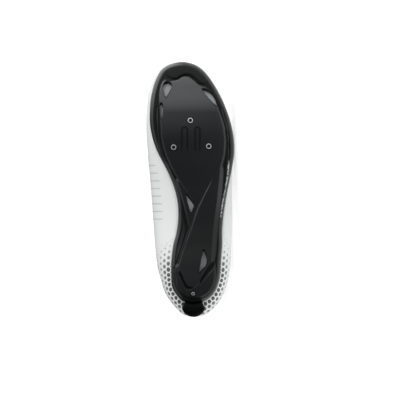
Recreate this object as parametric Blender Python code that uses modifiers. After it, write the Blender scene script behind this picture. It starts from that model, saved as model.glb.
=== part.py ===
"""A road cycling shoe for the left foot, lying on its outer side.

The shoe is drawn upright first: +X to the inner side of the foot, +Y to the toe, +Z up, the back of
the heel at Y = 0. One empty carries every piece and lays the shoe down the way it comes to rest on a
floor: toe to +X, underside of the sole to -Y, inner side up, edge of the sole and upper on the floor.
Places are shares: along is a share of LENGTH, across a share of BALL_WIDTH, + to the inner side.
"""
from collections import namedtuple
from math import cos, exp, log, pi, radians, sin, sqrt

import bmesh
import bpy
from mathutils import Matrix, Vector
from mathutils.geometry import intersect_point_tri

# Driving dimensions, in metres
LENGTH = 0.280
BALL_WIDTH = 0.091
INSTEP_HEIGHT = 0.0735
HEEL_HEIGHT = 0.087
TOE_SPRING = 0.0225
SOLE_CROWN = 0.003

# Walls and clearances
UPPER_WALL = 0.0018
TONGUE_THICK = 0.003
INSOLE_THICK = 0.003
STRAP_THICK = 0.002
PLATE_THICK = 0.0024
RIM_WALL = 0.0018
RIM_HEIGHT = 0.0080
FIT = 0.0003
LAST_FIT = 0.0004
TONGUE_FIT = 0.0010

# Relief of the sole's underside, below the plate
RIM_BAND = 0.0050
PLATFORM_DROP = 0.0030
SHANK_DROP = 0.0040
LEG_DROP = 0.0022
HEEL_PLATE_DROP = 0.0026
EDGE_SLOPE = 0.0012
PLATFORM_ROOT = 0.0012
SHANK_ROOT = 0.00108
LEG_ROOT = 0.00096
HEEL_PLATE_ROOT = 0.00084
GROOVE_DEPTH = 0.0012
SLOT_DEPTH = 0.0011
SLOT_WIDTH = 0.0014
SLOT_STEPS = 6

# The rim's rounded underside: depth inside the sole's edge and height over the plate's underside
RimPoint = namedtuple("RimPoint", "depth height")
RIM_CURVE = [RimPoint(RIM_BAND, 0.0), RimPoint(0.0025, 0.0010), RimPoint(0.0006, 0.0036)]

# Small fittings
INSERT_RADIUS = 0.0036
INSERT_HOLE = 0.0015
INSERT_THICK = 0.0016
SCREW_RADIUS = 0.0034
SCREW_THICK = 0.0018
SCREW_DOME = 0.0007
SCREW_CROWN = 0.7
BUMPER_THICK = 0.0030
TURN_STEPS = 14

# Straps
STRAP_WIDTH_FORE = 0.024
STRAP_WIDTH_INSTEP = 0.026

# The three centres that the sections stand on or fan out from
HEEL_CENTRE = 0.165
THROAT_END = 0.745
TOE_CENTRE = 0.870
HEEL_STEPS = 6
WAIST_STEPS = 20
VAMP_STEPS = 4
TOE_STEPS = 8
LOW_ROWS = 3
HIGH_ROWS = 6
BEND_STEP = 0.0085
CROWN_STEP = 0.0240
BEYOND = 1

Plan = namedtuple("Plan", "along inner outer")
SOLE_PLAN = [
    Plan(0.065, 0.140, 0.142), Plan(0.085, 0.197, 0.223), Plan(0.115, 0.255, 0.282),
    Plan(0.160, 0.269, 0.320), Plan(0.220, 0.269, 0.334), Plan(0.280, 0.247, 0.348),
    Plan(0.340, 0.204, 0.349), Plan(0.400, 0.186, 0.364), Plan(0.460, 0.200, 0.392),
    Plan(0.520, 0.250, 0.427), Plan(0.580, 0.330, 0.464), Plan(0.640, 0.426, 0.490),
    Plan(0.700, 0.494, 0.484), Plan(0.760, 0.526, 0.449), Plan(0.820, 0.524, 0.388),
    Plan(0.870, 0.506, 0.317), Plan(0.910, 0.475, 0.248), Plan(0.945, 0.432, 0.174),
    Plan(0.972, 0.376, 0.096), Plan(0.990, 0.285, 0.006),
]
SOLE_HEEL = (0.000, 0.053)
SOLE_TOE = (0.132, 1.000)
SIDE_PLAN = [
    Plan(0.012, 0.118, 0.140), Plan(0.030, 0.180, 0.212), Plan(0.060, 0.262, 0.296),
    Plan(0.100, 0.338, 0.362), Plan(0.160, 0.393, 0.416), Plan(0.220, 0.438, 0.436),
    Plan(0.280, 0.457, 0.448), Plan(0.340, 0.471, 0.455), Plan(0.400, 0.485, 0.456),
    Plan(0.460, 0.498, 0.457), Plan(0.520, 0.513, 0.459), Plan(0.580, 0.528, 0.463),
    Plan(0.640, 0.548, 0.464), Plan(0.700, 0.563, 0.460), Plan(0.760, 0.568, 0.434),
    Plan(0.820, 0.559, 0.382), Plan(0.870, 0.534, 0.318), Plan(0.910, 0.496, 0.251),
    Plan(0.945, 0.448, 0.177), Plan(0.972, 0.385, 0.101), Plan(0.989, 0.294, 0.016),
]
SIDE_HEEL = (-0.006, 0.004)
SIDE_TOE = (0.132, 0.997)

# Height of the sole's underside over the ground, as a share of TOE_SPRING
Rise = namedtuple("Rise", "along rise")
SOLE_RISE = [
    Rise(0.00, 0.28), Rise(0.05, 0.26), Rise(0.10, 0.22), Rise(0.20, 0.29), Rise(0.30, 0.40),
    Rise(0.40, 0.46), Rise(0.50, 0.38), Rise(0.60, 0.22), Rise(0.70, 0.14), Rise(0.80, 0.22),
    Rise(0.90, 0.53), Rise(0.96, 0.80), Rise(1.00, 1.00),
]

# Upright sections of the last. Heights over the sole are shares of INSTEP_HEIGHT: ridge is the top
# line of the foot, widest_in and widest_out the widest line on each side. spine is the ridge's
# place across, round the exponent of the section's curve, lean the share the wall tips in by.
Last = namedtuple("Last", "along spine ridge widest_in widest_out round lean")
LAST = [
    Last(0.000, -0.010, 2.230, 0.300, 0.300, 2.3, 0.16),
    Last(0.040, -0.010, 2.230, 0.330, 0.320, 2.3, 0.16),
    Last(0.100, -0.010, 2.230, 0.380, 0.370, 2.3, 0.16),
    Last(0.165, -0.010, 2.230, 0.410, 0.400, 2.3, 0.17),
    Last(0.250, 0.005, 1.930, 0.440, 0.400, 2.3, 0.16),
    Last(0.330, 0.020, 1.456, 0.480, 0.380, 2.2, 0.12),
    Last(0.400, 0.030, 1.204, 0.500, 0.350, 2.0, 0.06),
    Last(0.500, 0.045, 1.000, 0.460, 0.320, 1.9, 0.00),
    Last(0.600, 0.060, 0.844, 0.390, 0.285, 1.9, 0.00),
    Last(0.700, 0.075, 0.700, 0.310, 0.270, 2.05, 0.00),
    Last(0.800, 0.095, 0.571, 0.240, 0.240, 2.25, 0.00),
    Last(0.870, 0.115, 0.440, 0.200, 0.200, 2.4, 0.00),
    Last(0.950, 0.125, 0.330, 0.175, 0.175, 2.4, 0.00),
    Last(1.000, 0.130, 0.300, 0.170, 0.170, 2.4, 0.00),
]

# Top line: collar height over the ground as a share of HEEL_HEIGHT, half the throat's width as a
# share of BALL_WIDTH
Topline = namedtuple("Topline", "along collar gap")
TOPLINE = [
    Topline(0.000, 1.000, 0.200), Topline(0.030, 0.985, 0.200), Topline(0.065, 0.930, 0.200),
    Topline(0.105, 0.845, 0.200), Topline(0.150, 0.775, 0.200), Topline(0.210, 0.740, 0.200),
    Topline(0.270, 0.775, 0.210), Topline(0.330, 0.870, 0.240), Topline(0.370, 0.970, 0.260),
    Topline(0.410, 1.100, 0.262), Topline(0.460, 1.400, 0.222), Topline(0.535, 2.000, 0.190),
    Topline(0.640, 2.500, 0.158), Topline(0.700, 2.500, 0.120), Topline(0.728, 2.500, 0.075),
    Topline(0.745, 2.500, 0.000), Topline(1.000, 2.500, 0.000),
]
CORNER_SHARPNESS = 22

# Tongue: half its width as a share of BALL_WIDTH, and how far its edges sweep back, a share of LENGTH
Tongue = namedtuple("Tongue", "along half sweep")
TONGUE = [
    Tongue(0.372, 0.200, 0.014), Tongue(0.374, 0.250, 0.020), Tongue(0.380, 0.280, 0.024),
    Tongue(0.395, 0.310, 0.022), Tongue(0.415, 0.325, 0.012), Tongue(0.445, 0.320, 0.000),
    Tongue(0.490, 0.295, 0.000), Tongue(0.550, 0.270, 0.000), Tongue(0.610, 0.245, 0.000),
    Tongue(0.670, 0.220, 0.000), Tongue(0.720, 0.185, 0.000), Tongue(0.755, 0.130, 0.000),
]
TONGUE_COLUMNS = 5

# Straps: place along, angle on the section where each side ends
Strap = namedtuple("Strap", "name along width start end slant")
STRAPS = [
    Strap("strap_forefoot", 0.640, STRAP_WIDTH_FORE, 0.36, 0.50, 0.010),
    Strap("strap_instep", 0.500, STRAP_WIDTH_INSTEP, 0.36, 0.52, 0.014),
]
STRAP_ROWS = 16
STRAP_COLUMNS = 4
TAB_ROUND = 0.22
TAB_END_CUT = 0.97
STRAP_ROW_BIAS = 1.3

# Relief of the underside: (across, along) round each shape
PLATFORM = [
    (0.360, 0.925), (0.412, 0.880), (0.413, 0.810), (0.400, 0.742), (0.387, 0.695), (0.351, 0.648),
    (0.294, 0.601), (0.222, 0.556), (0.144, 0.515), (0.060, 0.479), (-0.024, 0.447), (-0.100, 0.449),
    (-0.174, 0.485), (-0.246, 0.528), (-0.319, 0.569), (-0.374, 0.624), (-0.391, 0.675),
    (-0.383, 0.722), (-0.352, 0.769), (-0.298, 0.816), (-0.234, 0.865), (-0.150, 0.899),
    (-0.066, 0.912), (-0.005, 0.930), (0.060, 0.943), (0.130, 0.942), (0.192, 0.930), (0.270, 0.926),
]
TOE_PAD = [
    (0.321, 0.954), (0.270, 0.970), (0.198, 0.979), (0.114, 0.981), (0.030, 0.973), (-0.054, 0.954),
    (-0.118, 0.932), (-0.146, 0.916), (-0.121, 0.909), (-0.076, 0.918), (-0.020, 0.936),
    (0.052, 0.950), (0.130, 0.949), (0.192, 0.937), (0.240, 0.932), (0.290, 0.935),
]
SHANK_CREST = [
    (-0.276, 0.573), (-0.210, 0.526), (-0.138, 0.479), (-0.072, 0.434), (-0.024, 0.393),
    (0.024, 0.346), (0.078, 0.299), (0.132, 0.249), (0.174, 0.202), (0.186, 0.176), (0.126, 0.145),
    (0.066, 0.115), (0.000, 0.114), (-0.066, 0.135), (-0.138, 0.168), (-0.208, 0.207),
    (-0.218, 0.249), (-0.230, 0.303), (-0.246, 0.366), (-0.276, 0.432), (-0.300, 0.499),
    (-0.318, 0.554),
]
SHANK_FOOT = [
    (-0.252, 0.583), (-0.186, 0.532), (-0.114, 0.485), (-0.048, 0.440), (0.000, 0.399),
    (0.048, 0.352), (0.102, 0.305), (0.154, 0.254), (0.197, 0.204), (0.208, 0.172), (0.144, 0.140),
    (0.078, 0.106), (0.000, 0.104), (-0.082, 0.128), (-0.162, 0.160), (-0.236, 0.200),
    (-0.268, 0.249), (-0.280, 0.303), (-0.295, 0.366), (-0.320, 0.432), (-0.345, 0.499),
    (-0.360, 0.562),
]
MEDIAL_LEG = [
    (0.206, 0.540), (0.165, 0.491), (0.125, 0.444), (0.090, 0.401), (0.045, 0.348),
    (-0.042, 0.405), (-0.114, 0.456), (-0.030, 0.472), (0.078, 0.511),
]
HEEL_PLATE = [
    (0.214, 0.200), (0.216, 0.147), (0.200, 0.117), (0.082, 0.080), (0.012, 0.074), (-0.060, 0.075),
    (-0.168, 0.092), (-0.230, 0.119), (-0.260, 0.151), (-0.262, 0.200), (-0.234, 0.222),
    (0.042, 0.230),
]
GROOVES = {
    "lateral": [
        (-0.330, 0.816), (-0.398, 0.734), (-0.410, 0.680), (-0.404, 0.620), (-0.378, 0.546),
        (-0.352, 0.470), (-0.362, 0.466), (-0.392, 0.546), (-0.421, 0.620), (-0.430, 0.680),
        (-0.422, 0.734), (-0.348, 0.820),
    ],
    "medial": [
        (0.430, 0.824), (0.424, 0.760), (0.412, 0.705), (0.384, 0.655), (0.326, 0.604),
        (0.342, 0.602), (0.402, 0.652), (0.434, 0.702), (0.446, 0.760), (0.446, 0.822),
    ],
    "waist": [
        (0.138, 0.405), (0.112, 0.372), (0.100, 0.350), (0.128, 0.305), (0.178, 0.255),
        (0.206, 0.226), (0.210, 0.250), (0.180, 0.296), (0.136, 0.348),
    ],
    "heel_in": [
        (0.222, 0.196), (0.226, 0.150), (0.215, 0.122), (0.232, 0.130), (0.240, 0.160),
        (0.236, 0.196),
    ],
}
HEEL_POCKETS = [
    [(-0.170, 0.196), (-0.246, 0.222), (-0.252, 0.200), (-0.192, 0.176), (-0.120, 0.149),
     (-0.085, 0.131), (-0.083, 0.147), (-0.132, 0.174)],
    [(0.176, 0.178), (0.150, 0.170), (0.108, 0.140), (0.068, 0.119), (0.020, 0.117),
     (0.020, 0.112), (0.078, 0.110), (0.124, 0.134)],
]
POCKET_DEPTH = 0.0030
VENTS = [
    [(0.370, 0.902), (0.352, 0.919), (0.315, 0.926), (0.278, 0.919), (0.260, 0.906),
     (0.280, 0.886), (0.306, 0.869), (0.331, 0.857), (0.355, 0.871)],
    [(-0.100, 0.895), (-0.150, 0.894), (-0.198, 0.884), (-0.237, 0.869), (-0.266, 0.849),
     (-0.280, 0.825), (-0.244, 0.832), (-0.198, 0.850), (-0.155, 0.868), (-0.117, 0.883)],
    [(0.400, 0.838), (0.380, 0.840), (0.367, 0.826), (0.366, 0.806), (0.378, 0.773),
     (0.394, 0.779), (0.402, 0.806), (0.405, 0.826)],
    [(0.091, 0.483), (0.040, 0.465), (-0.004, 0.442), (0.011, 0.426), (0.030, 0.412),
     (0.058, 0.435), (0.078, 0.460)],
    [(-0.121, 0.267), (-0.147, 0.249), (-0.157, 0.225), (-0.145, 0.202), (-0.107, 0.187),
     (-0.064, 0.174), (-0.076, 0.200), (-0.090, 0.227), (-0.105, 0.249)],
]
SLOTS = [(0.148, 0.066, 0.745, 0.652), (-0.012, -0.084, 0.745, 0.652)]
INSERTS = {
    "cleat_insert_front": (0.038, 0.769),
    "cleat_insert_medial": (0.239, 0.664),
    "cleat_insert_lateral": (-0.184, 0.668),
}
SCREW_PLACE = (0.005, 0.092)

# How far a resting facet must face the outer side, as a cosine
SIDE_FACING = 0.7

# Heel block: half widths at its front and back, its slices from side to side, and its side profile
PAD_HALF_FRONT = 0.0116
PAD_HALF_BACK = 0.0150
PadSlice = namedtuple("PadSlice", "aside size")
PAD_SLICES = [
    PadSlice(-1.00, 0.84), PadSlice(-0.95, 0.98), PadSlice(-0.75, 1.00), PadSlice(-0.40, 1.00),
    PadSlice(0.00, 1.00),
    PadSlice(0.40, 1.00), PadSlice(0.75, 1.00), PadSlice(0.95, 0.98), PadSlice(1.00, 0.84),
]
PadProfile = namedtuple("PadProfile", "y z")
PAD_BACK = [
    PadProfile(0.0007, 0.0165), PadProfile(0.0003, 0.0105), PadProfile(0.0014, 0.0045),
    PadProfile(0.0055, 0.0004),
]
PAD_CREST_Y = 0.0030
PAD_TREAD_FRONT_Y = 0.0125
PAD_FRONT_Z = 0.0030
PAD_CURL = 0.0085
PAD_CURL_POWER = 2
PAD_TOP_STEPS = 3


def place(share):
    """A point given as (across, along) shares, in metres."""
    return Vector((share[0] * BALL_WIDTH, share[1] * LENGTH))


def read(table, column, along):
    """A column's value at a place along the shoe, on a smooth curve with no overshoot."""
    rows = [(row.along, getattr(row, column)) for row in table]
    if along <= rows[0][0]:
        return rows[0][1]
    if along >= rows[-1][0]:
        return rows[-1][1]
    spans = list(zip(rows, rows[1:]))
    steep = [(b[1] - a[1]) / (b[0] - a[0]) for a, b in spans]
    i = next(k for k, (a, b) in enumerate(spans) if along <= b[0])

    def slope(k):
        if k == 0 or k == len(rows) - 1:
            return steep[min(k, len(steep) - 1)]
        before, after = steep[k - 1], steep[k]
        return 0.0 if before * after <= 0 else 2 * before * after / (before + after)

    (a, low), (b, high) = spans[i]
    t = (along - a) / (b - a)
    rise = (2 * t**3 - 3 * t**2 + 1) * low + (3 * t**2 - 2 * t**3) * high
    bend = (t**3 - 2 * t**2 + t) * slope(i) + (t**3 - t**2) * slope(i + 1)
    return rise + bend * (b - a)


def smooth_loop(points, per_span):
    """A closed smooth curve through a loop of points."""
    count = len(points)
    after = points[1:] + points[:1]
    before = points[-1:] + points[:-1]
    chord = [(b - a).length for a, b in zip(points, after)]
    slope = [(after[i] - before[i]) / (chord[i] + chord[i - 1]) for i in range(count)]
    loop = []
    for i in range(count):
        for k in range(per_span):
            t = k / per_span
            loop.append(
                points[i] * (2 * t**3 - 3 * t**2 + 1) + after[i] * (3 * t**2 - 2 * t**3)
                + slope[i] * chord[i] * (t**3 - 2 * t**2 + t)
                + slope[(i + 1) % count] * chord[i] * (t**3 - t**2)
            )
    return loop


def plan_outline(plan, heel, toe):
    """A closed outline through the rows of a plan, from the heel up the inner side and back."""
    inner = [place((row.inner, row.along)) for row in plan]
    outer = [place((-row.outer, row.along)) for row in reversed(plan)]
    return smooth_loop([place(heel)] + inner + [place(toe)] + outer, 6)


def inset(loop, depth):
    """A counter-clockwise outline moved inwards by a depth."""
    moved = []
    for before, here, after in zip(loop[-1:] + loop[:-1], loop, loop[1:] + loop[:1]):
        run = (after - before).normalized()
        moved.append(here + Vector((-run.y, run.x)) * depth)
    return moved


def reach(loop, origin, direction):
    """How far a ray from inside an outline runs to that outline."""
    for a, b in zip(loop, loop[1:] + loop[:1]):
        edge, start = b - a, a - origin
        turn = direction.cross(edge)
        if abs(turn) < 1e-12:
            continue
        ahead, share = start.cross(edge) / turn, start.cross(direction) / turn
        if ahead > 0 and 0 <= share <= 1:
            return ahead
    raise ValueError("the ray starts outside the outline")


SOLE_OUTLINE = plan_outline(SOLE_PLAN, SOLE_HEEL, SOLE_TOE)
SIDE_OUTLINE = plan_outline(SIDE_PLAN, SIDE_HEEL, SIDE_TOE)
FEATHER_INSET = RIM_WALL + LAST_FIT
FEATHER_OUTLINE = inset(SOLE_OUTLINE, FEATHER_INSET)


def rise(x, y):
    """Height of the bent sole's underside over the ground."""
    return read(SOLE_RISE, "rise", y / LENGTH) * TOE_SPRING + SOLE_CROWN * (2 * x / BALL_WIDTH) ** 2


def spine(along):
    """The point on the last's middle line that a section stands on."""
    return place((read(LAST, "spine", along), along))


def rays(side):
    """Origin and direction of each half section of one side, from the heel's back to the toe's tip."""
    found = []
    for k in range(HEEL_STEPS):
        turn = radians(90) * k / HEEL_STEPS
        found.append((spine(HEEL_CENTRE), Vector((side * sin(turn), -cos(turn)))))
    for k in range(WAIST_STEPS):
        along = HEEL_CENTRE + (THROAT_END - HEEL_CENTRE) * k / WAIST_STEPS
        found.append((spine(along), Vector((side, 0))))
    for k in range(VAMP_STEPS):
        along = THROAT_END + (TOE_CENTRE - THROAT_END) * k / VAMP_STEPS
        found.append((spine(along), Vector((side, 0))))
    for k in range(TOE_STEPS + 1):
        turn = radians(90) * k / TOE_STEPS
        found.append((spine(TOE_CENTRE), Vector((side * cos(turn), sin(turn)))))
    return found


INNER_RAYS = rays(1)
OUTER_RAYS = rays(-1)


class Section:
    """One upright half section of the last: a flare from the sole's rim out to the widest line,
    then a rounded arch up to the ridge."""

    def __init__(self, origin, direction):
        self.origin, self.direction = origin, direction
        self.feather = reach(FEATHER_OUTLINE, origin, direction)
        self.widest = reach(SIDE_OUTLINE, origin, direction)
        foot = origin + direction * self.feather
        side = origin + direction * self.widest
        here, beside = origin.y / LENGTH, side.y / LENGTH
        self.floor_z = rise(foot.x, foot.y) + PLATE_THICK + FIT
        self.feather_z = rise(foot.x, foot.y) + RIM_HEIGHT + FIT
        column = "widest_in" if direction.x > 0 else "widest_out"
        self.widest_z = rise(0, side.y) + read(LAST, column, beside) * INSTEP_HEIGHT
        self.ridge_z = rise(0, origin.y) + read(LAST, "ridge", here) * INSTEP_HEIGHT
        self.power = 2 / read(LAST, "round", here)
        self.lean = read(LAST, "lean", beside)
        self.collar_z = read(TOPLINE, "collar", beside) * HEEL_HEIGHT
        self.gap = read(TOPLINE, "gap", here) * BALL_WIDTH
        self.ahead = direction.y if direction.y > 0 else 0.0

    def at(self, out, height):
        ground = self.origin + self.direction * out
        return Vector((ground.x, ground.y, height))

    def skirt(self):
        return self.at(self.feather, self.floor_z)

    def flare(self, share):
        out = self.feather + (self.widest - self.feather) * (1 - (1 - share) ** 2)
        return self.at(out, self.feather_z + (self.widest_z - self.feather_z) * share)

    def arch(self, angle):
        height = self.widest_z + (self.ridge_z - self.widest_z) * sin(angle) ** self.power
        tipped = (height - self.widest_z) / (self.collar_z - self.widest_z)
        out = self.widest * cos(angle) ** self.power * (1 - self.lean * min(max(tipped, 0), 1.2) ** 2)
        height += RIDGE_SLOPE * out * self.ahead * (1 - out / self.widest)
        return self.at(out, height)

    def out_at(self, angle):
        return (self.arch(angle).xy - self.origin).length

    def angle_where(self, passed):
        """The first angle of the arch where a test holds, or a quarter turn."""
        low, high = 0.0, pi / 2
        if not passed(high):
            return high
        for _ in range(40):
            middle = (low + high) / 2
            low, high = (low, middle) if passed(middle) else (middle, high)
        return high

    def top(self):
        """The angle where the collar or the throat cuts the section, the corner between them eased."""
        collar = self.angle_where(lambda angle: self.arch(angle).z >= self.collar_z)
        if self.gap <= 0 and collar >= pi / 2:
            return pi / 2
        throat = self.angle_where(lambda angle: self.out_at(angle) <= self.gap)
        sharp = CORNER_SHARPNESS
        return -log(exp(-sharp * collar) + exp(-sharp * throat)) / sharp


RIDGE_STEP = 0.01
RIDGE_SLOPE = (
    Section(spine(TOE_CENTRE), Vector((1, 0))).ridge_z
    - Section(spine(TOE_CENTRE - RIDGE_STEP), Vector((1, 0))).ridge_z
) / (RIDGE_STEP * LENGTH)


def clear_scene():
    """Starts from nothing."""
    for thing in list(bpy.data.objects):
        bpy.data.objects.remove(thing, do_unlink=True)


def material(name, colour, roughness, metallic=0.0):
    """A plain Principled material."""
    made = bpy.data.materials.new(name)
    made.use_nodes = True
    shader = made.node_tree.nodes["Principled BSDF"]
    shader.inputs["Base Color"].default_value = (*colour, 1)
    shader.inputs["Roughness"].default_value = roughness
    shader.inputs["Metallic"].default_value = metallic
    return made


def add(name, bm, finish=None, collection=None):
    """Turns a bmesh into an object, in the shoe's collection unless another is given."""
    mesh = bpy.data.meshes.new(name)
    bm.to_mesh(mesh)
    bm.free()
    piece = bpy.data.objects.new(name, mesh)
    (collection or SHOE).objects.link(piece)
    if finish:
        mesh.materials.append(finish)
    return piece


def apply_modifiers(piece):
    """Replaces a piece's mesh by its evaluated one."""
    bpy.context.view_layer.update()
    seen = piece.evaluated_get(bpy.context.evaluated_depsgraph_get())
    mesh = bpy.data.meshes.new_from_object(seen)
    piece.modifiers.clear()
    piece.data = mesh


def combine(piece, tool, operation):
    """Joins a tool to a piece or cuts it out of the piece, and removes the tool."""
    boolean = piece.modifiers.new(operation.lower(), "BOOLEAN")
    boolean.operation = operation
    boolean.solver = "EXACT"
    boolean.object = tool
    apply_modifiers(piece)
    bpy.data.objects.remove(tool, do_unlink=True)


def loft(rings):
    """A closed solid through rings of equally many points, counter-clockwise and from the bottom up."""
    bm = bmesh.new()
    loops = [[bm.verts.new(point) for point in ring] for ring in rings]
    for low, high in zip(loops, loops[1:]):
        for i in range(len(low)):
            j = (i + 1) % len(low)
            bm.faces.new((low[i], low[j], high[j], high[i]))
    bm.faces.new(list(reversed(loops[0])))
    bm.faces.new(loops[-1])
    return bm


def ring_at(loop, height):
    """A flat outline at one height."""
    return [Vector((point.x, point.y, height)) for point in loop]


def sole_ring(depth, height):
    """The sole's outline at a depth inside its edge, with a point on every section's ray."""
    loop = inset(SOLE_OUTLINE, depth) if depth else SOLE_OUTLINE
    inner = [origin + ray * reach(loop, origin, ray) for origin, ray in INNER_RAYS]
    outer = [origin + ray * reach(loop, origin, ray) for origin, ray in OUTER_RAYS]
    return ring_at(inner + outer[-2:0:-1], height)


def bend(piece):
    """Cuts a flat-built piece across and along, then lifts it onto the bent sole."""
    bm = bmesh.new()
    bm.from_mesh(piece.data)
    lines = [origin.y for origin, ray in INNER_RAYS if ray.y == 0]
    lines += [lines[0] - BEND_STEP * k for k in range(1, BEYOND + int(lines[0] / BEND_STEP))]
    lines += [lines[-1] + BEND_STEP * k for k in range(1, BEYOND + int((LENGTH - lines[-1]) / BEND_STEP))]
    planes = [((0, y, 0), (0, 1, 0)) for y in sorted(set(lines))]
    reach_out = int(BALL_WIDTH / 2 / CROWN_STEP) + BEYOND
    planes += [((k * CROWN_STEP, 0, 0), (1, 0, 0)) for k in range(-reach_out, reach_out + 1)]
    for spot, normal in planes:
        everything = bm.verts[:] + bm.edges[:] + bm.faces[:]
        bmesh.ops.bisect_plane(bm, geom=everything, dist=1e-5, plane_co=spot, plane_no=normal)
    bmesh.ops.triangulate(bm, faces=bm.faces[:])
    bmesh.ops.dissolve_degenerate(bm, dist=1e-5, edges=bm.edges[:])
    bmesh.ops.triangulate(bm, faces=bm.faces[:])
    for vert in bm.verts:
        vert.co.z += rise(vert.co.x, vert.co.y)
    bm.to_mesh(piece.data)
    bm.free()


def rounded(shape, per_span=2):
    """A shape given in shares, as a smooth counter-clockwise loop."""
    points = [place(share) for share in shape]
    area = sum(a.cross(b) for a, b in zip(points, points[1:] + points[:1]))
    if area < 0:
        points.reverse()
    return smooth_loop(points, per_span) if per_span > 1 else points


def prism(name, loop, low, high, slope=0.0):
    """A flat-built tool: an outline pulled from one height to another, its lower edge drawn in."""
    rings = [ring_at(loop, low), ring_at(loop, high)]
    if slope:
        rings = [ring_at(inset(loop, slope), low), ring_at(loop, low + slope), ring_at(loop, high)]
    return add(name, loft(rings))


def arch_slot(left, right, top, bottom):
    """The outline of a slot bent like a narrow arch, in metres."""
    outer_end, inner_end = place((left, bottom)), place((right, bottom))
    middle = (outer_end.x + inner_end.x) / 2
    half = abs(outer_end.x - inner_end.x) / 2
    spring = place((0, top)).y - half
    loop = []
    there, back = range(SLOT_STEPS + 1), range(SLOT_STEPS, -1, -1)
    for radius, turns in ((half, there), (half - SLOT_WIDTH, back)):
        arc = [Vector((middle + radius * cos(pi * k / SLOT_STEPS), spring + radius * sin(pi * k / SLOT_STEPS)))
               for k in turns]
        foot_first = Vector((arc[0].x, outer_end.y))
        foot_last = Vector((arc[-1].x, outer_end.y))
        loop += [foot_first] + arc + [foot_last]
    return loop


def make_sole():
    """The carbon sole: a shallow cup, its relief joined on, its vents, slots and seats cut out."""
    edge = [(row.depth, row.height) for row in RIM_CURVE]
    edge += [(0.0, RIM_HEIGHT), (RIM_WALL, RIM_HEIGHT), (RIM_WALL, PLATE_THICK)]
    sole = add("sole_shell", loft([sole_ring(depth, height) for depth, height in edge]), CARBON)
    platform = prism("platform", rounded(PLATFORM), -PLATFORM_DROP, PLATFORM_ROOT, EDGE_SLOPE)
    combine(sole, platform, "UNION")
    shank = loft([ring_at([place(share) for share in SHANK_CREST], -SHANK_DROP),
                  ring_at([place(share) for share in SHANK_FOOT], SHANK_ROOT)])
    bmesh.ops.recalc_face_normals(shank, faces=shank.faces[:])
    combine(sole, add("shank", shank), "UNION")
    combine(sole, prism("leg", rounded(MEDIAL_LEG), -LEG_DROP, LEG_ROOT, EDGE_SLOPE), "UNION")
    plate = prism("plate", rounded(HEEL_PLATE, 1), -HEEL_PLATE_DROP, HEEL_PLATE_ROOT, EDGE_SLOPE)
    combine(sole, plate, "UNION")
    below = -2 * SHANK_DROP
    for name, shape in GROOVES.items():
        combine(sole, prism(name, rounded(shape), below, GROOVE_DEPTH), "DIFFERENCE")
    for shape in HEEL_POCKETS:
        combine(sole, prism("pocket", rounded(shape, 1), below, POCKET_DEPTH - SHANK_DROP), "DIFFERENCE")
    for slot in SLOTS:
        combine(sole, prism("slot", arch_slot(*slot), below, SLOT_DEPTH - PLATFORM_DROP), "DIFFERENCE")
    for shape in VENTS:
        combine(sole, prism("vent", rounded(shape), below, 2 * RIM_HEIGHT), "DIFFERENCE")
    seats = [(spot, INSERT_RADIUS, INSERT_THICK - PLATFORM_DROP) for spot in INSERTS.values()]
    seats.append((SCREW_PLACE, SCREW_RADIUS, SCREW_THICK - HEEL_PLATE_DROP))
    for spot, radius, floor in seats:
        middle = place(spot)
        seat = [middle + Vector((cos(2 * pi * k / TURN_STEPS), sin(2 * pi * k / TURN_STEPS)))
                * (radius + FIT) for k in range(TURN_STEPS)]
        combine(sole, prism("seat", seat, below, floor + FIT), "DIFFERENCE")
    bend(sole)


def make_bumper():
    """The soft crescent at the toe, seated on the plate in front of the cleat platform."""
    bumper = prism("toe_bumper", rounded(TOE_PAD), -FIT - BUMPER_THICK, -FIT, EDGE_SLOPE / 2)
    bumper.data.materials.append(SOFT_RUBBER)
    bend(bumper)


def turned(name, profile, finish, spot, level):
    """A turned fitting from its (radius, height) profile, set square on the bent sole at a spot."""
    bm = bmesh.new()
    verts = [bm.verts.new((radius, 0, height)) for radius, height in profile]
    on_axis = profile[0][0] == 0
    for a, b in zip(verts, verts[1:] + ([] if on_axis else verts[:1])):
        bm.edges.new((a, b))
    piece = add(name, bm, finish)
    screw = piece.modifiers.new("turn", "SCREW")
    screw.steps = screw.render_steps = TURN_STEPS
    screw.use_merge_vertices = True
    screw.merge_threshold = 0.00001
    middle, step = place(spot), FIT
    tilt_x = (rise(middle.x + step, middle.y) - rise(middle.x - step, middle.y)) / (2 * step)
    tilt_y = (rise(middle.x, middle.y + step) - rise(middle.x, middle.y - step)) / (2 * step)
    up = Vector((-tilt_x, -tilt_y, 1)).normalized()
    forward = (Vector((0, 1, 0)) - up * up.y).normalized()
    across = forward.cross(up)
    spin = Matrix((across, forward, up)).transposed().to_4x4()
    piece.matrix_world = Matrix.Translation((middle.x, middle.y, level + rise(middle.x, middle.y))) @ spin
    return piece


def make_fittings():
    """Three threaded inserts for the cleat, and the screw of the heel plate."""
    low, high = -INSERT_THICK / 2, INSERT_THICK / 2
    ring = [(INSERT_RADIUS, high), (INSERT_RADIUS, low), (INSERT_HOLE, low), (INSERT_HOLE, high)]
    for name, spot in INSERTS.items():
        turned(name, ring, STEEL, spot, -PLATFORM_DROP + INSERT_THICK / 2)
    domed = [(0, SCREW_THICK), (SCREW_RADIUS, SCREW_THICK), (SCREW_RADIUS, 0),
             (SCREW_RADIUS * SCREW_CROWN, -SCREW_DOME * SCREW_CROWN), (0, -SCREW_DOME)]
    turned("heel_pad_screw", domed, STEEL, SCREW_PLACE, -HEEL_PLATE_DROP)


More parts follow.
